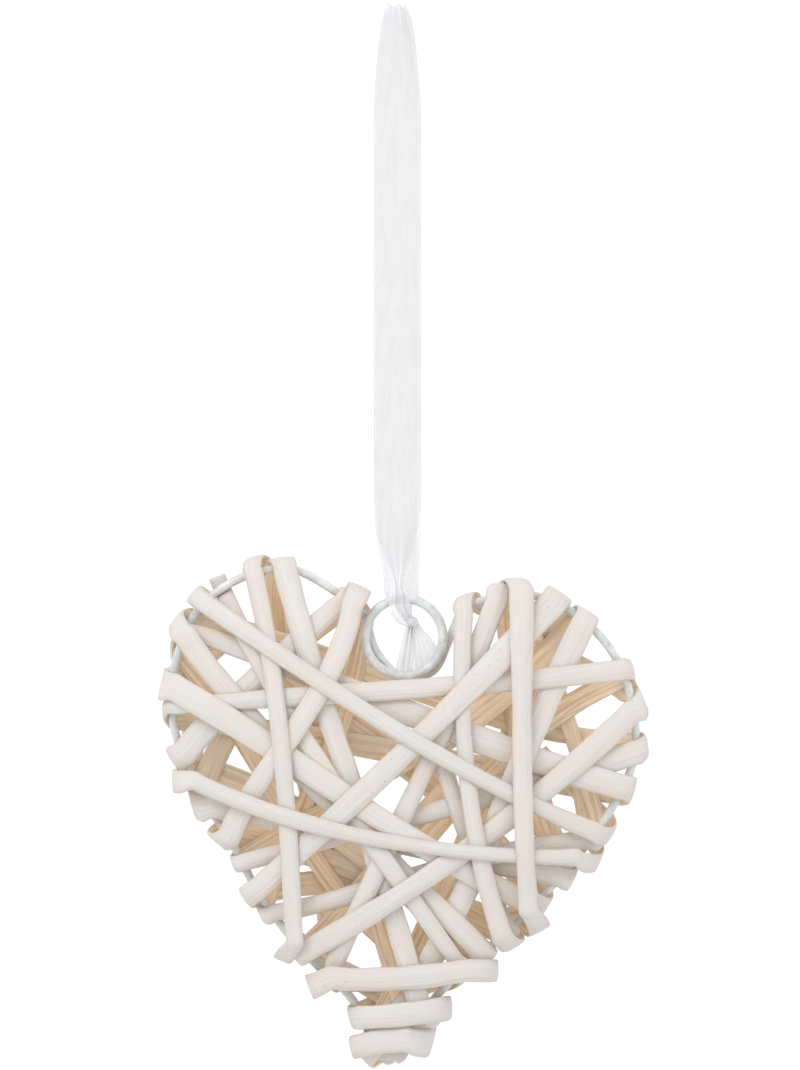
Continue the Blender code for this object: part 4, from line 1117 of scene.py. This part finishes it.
def strap():
    """The ribbon's grid of points from one tail over the loop to the other, with its gathers."""
    path = np.array(PALE_TAIL[::-1] + FRONT_LEG[::-1] + BACK_LEG + PLEATED_TAIL, float)
    middle = np.array([from_pixels(x, y, depth / 1000) for x, y, depth, *_ in path])
    s = distances(middle)
    t = np.linspace(0, s[-1], int(s[-1] / RIBBON_STEP) + 1)
    line = flow(np.column_stack([middle, path[:, 3:]]), s, t)
    middle, width, tilt, pleats = line[:, :3], line[:, 3] * PIXEL, np.radians(line[:, 4]), line[:, 5]
    width = np.minimum(width, RIBBON_WIDTH)
    across = np.column_stack([np.cos(tilt), np.zeros(len(t)), -np.sin(tilt)])
    along = unit(np.gradient(middle, t, axis=0))
    out = unit(np.cross(across, along))
    height = np.sqrt(RIBBON_WIDTH**2 - width**2) / (4 * pleats) * PLEAT_DEPTH
    rng = np.random.default_rng(8)
    phase = ripple(t, *PLEAT_WAVE, rng)
    ruffle = ripple(t, *RUFFLE_WAVE, rng)
    v = np.linspace(-1, 1, RIBBON_COLUMNS)
    body = np.zeros((len(t), RIBBON_COLUMNS, 3))
    for j, place in enumerate(v):
        wave = np.sin(math.pi * pleats * place + phase + PLEAT_SKEW * place * place)
        lift = height * wave + ruffle * math.cos(2 * place)
        body[:, j] = middle + across * (width * place / 2)[:, None] + out * lift[:, None]
    gather = np.repeat((RIBBON_WIDTH / width) ** GATHER_SHARE, RIBBON_COLUMNS)
    uv = np.column_stack([np.repeat(t, RIBBON_COLUMNS), np.tile(v * RIBBON_WIDTH / 2, len(t))])
    rim = np.tile(np.abs(v), len(t))
    return body.reshape(-1, 3), grid_faces(len(t), RIBBON_COLUMNS), uv, rim, gather


def knot_wrap():
    """The turn of ribbon round the knot, as a short creased barrel."""
    columns, around = KNOT_GRID
    turn = np.linspace(0, 2 * math.pi, around, endpoint=False)
    tilt = math.radians(KNOT_TILT)
    side = np.array([math.cos(tilt), 0, -math.sin(tilt)])
    axis = np.array([-math.sin(tilt), 0, -math.cos(tilt)])
    centre = from_pixels(*KNOT, -ring_stand() - CLEARANCE)
    size = KNOT_SIZE * PIXEL
    rows = []
    for j, place in enumerate(np.linspace(-1, 1, columns)):
        radius = size * (1 - KNOT_TAPER * place * place)
        radius = radius * (1 + KNOT_FOLDS * np.sin(3 * turn + 2 * place) + KNOT_CREASES * (j % 2))
        rows.append(
            centre
            + axis * place * size
            + side * (radius * np.cos(turn))[:, None]
            + np.array([0, KNOT_DEPTH, 0]) * (radius * np.sin(turn))[:, None]
        )
    return np.array(rows).reshape(-1, 3), grid_faces(columns, around, closed_columns=True)


def ribbon(made):
    """The ribbon: a loop of two legs, gathered to a knot round the ring, and two tails."""
    points, faces, uv, rim, gather = strap()
    more, more_faces = knot_wrap()
    first = len(points)
    faces += [tuple(first + k for k in face) for face in more_faces]
    piece = mesh_piece("hanging_ribbon", np.vstack([points, more]), faces, made)
    spread = np.column_stack([more[:, 0] - more[:, 1], more[:, 2]])
    put_uv(piece.data, np.vstack([uv, spread]))
    put_value(piece.data, "rim", np.concatenate([rim, np.zeros(len(more))]))
    put_value(piece.data, "gather", np.concatenate([gather, np.full(len(more), KNOT_GATHER)]))
    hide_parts("ribbon")


# Floor, lights and camera


FRAME_PIXELS = (800, 1070)
CAMERA_DISTANCE = 1.6
SENSOR = 36
CLIP_END = 20
RIBBON_LAYERS = 32
FLOOR_RADIUS = 0.62
FLOOR_HEIGHT = -0.285
FLOOR_COLOUR = (0.82, 0.82, 0.81, 1)
WHITE = (1, 1, 1, 1)
SURROUND = 1.06

# The lights' names, places, sizes and powers in watts, and the point that they face
LIGHTS = (("key", (-0.45, -0.75, 0.50), 0.5, 3.1), ("fill", (0.75, -0.6, 0.1), 0.7, 0.5))
LIT_POINT = (0, 0, -0.16)


def studio():
    """A pale floor, a white surround and two soft lights."""
    place = (0, 0, FLOOR_HEIGHT)
    bpy.ops.mesh.primitive_circle_add(vertices=96, radius=FLOOR_RADIUS, fill_type="NGON", location=place)
    floor = bpy.context.object
    floor.name = "floor"
    made = Nodes("pale_floor").finished({"Base Color": FLOOR_COLOUR, "Roughness": 0.8})
    floor.data.materials.append(made)
    world = bpy.data.worlds.new("studio")
    world.use_nodes = True
    surround = world.node_tree.nodes["Background"].inputs
    surround["Color"].default_value = WHITE
    surround["Strength"].default_value = SURROUND
    bpy.context.scene.world = world
    for name, place, size, power in LIGHTS:
        light = bpy.data.lights.new(name, "AREA")
        light.size = size
        light.energy = power
        lamp = bpy.data.objects.new(name, light)
        lamp.location = place
        aim = Vector(LIT_POINT) - Vector(place)
        lamp.rotation_euler = aim.to_track_quat("-Z", "Y").to_euler()
        bpy.context.scene.collection.objects.link(lamp)


def camera():
    """The camera straight in front, with the photograph's frame on the heart's plane."""
    scene = bpy.context.scene
    data = bpy.data.cameras.new("camera")
    eye = bpy.data.objects.new("camera", data)
    x = (FRAME_PIXELS[0] / 2 - LOOP_TOP_PIXEL[0]) * PIXEL
    z = (LOOP_TOP_PIXEL[1] - FRAME_PIXELS[1] / 2) * PIXEL
    eye.location = (x, -CAMERA_DISTANCE, z)
    eye.rotation_euler = (math.pi / 2, 0, 0)
    data.sensor_width = SENSOR
    data.lens = SENSOR * CAMERA_DISTANCE / (FRAME_PIXELS[1] * PIXEL)
    data.clip_end = CLIP_END
    scene.collection.objects.link(eye)
    scene.camera = eye
    scene.view_settings.view_transform = "Standard"
    scene.cycles.transparent_max_bounces = RIBBON_LAYERS


def main():
    camera()
    studio()
    heart = Outline(closed_curve(OUTLINE, OUTLINE_STEPS) * HEART_WIDTH)
    wires(heart, wire_material())
    weave_strips(heart, willow_material())
    ribbon(ribbon_material())


main()
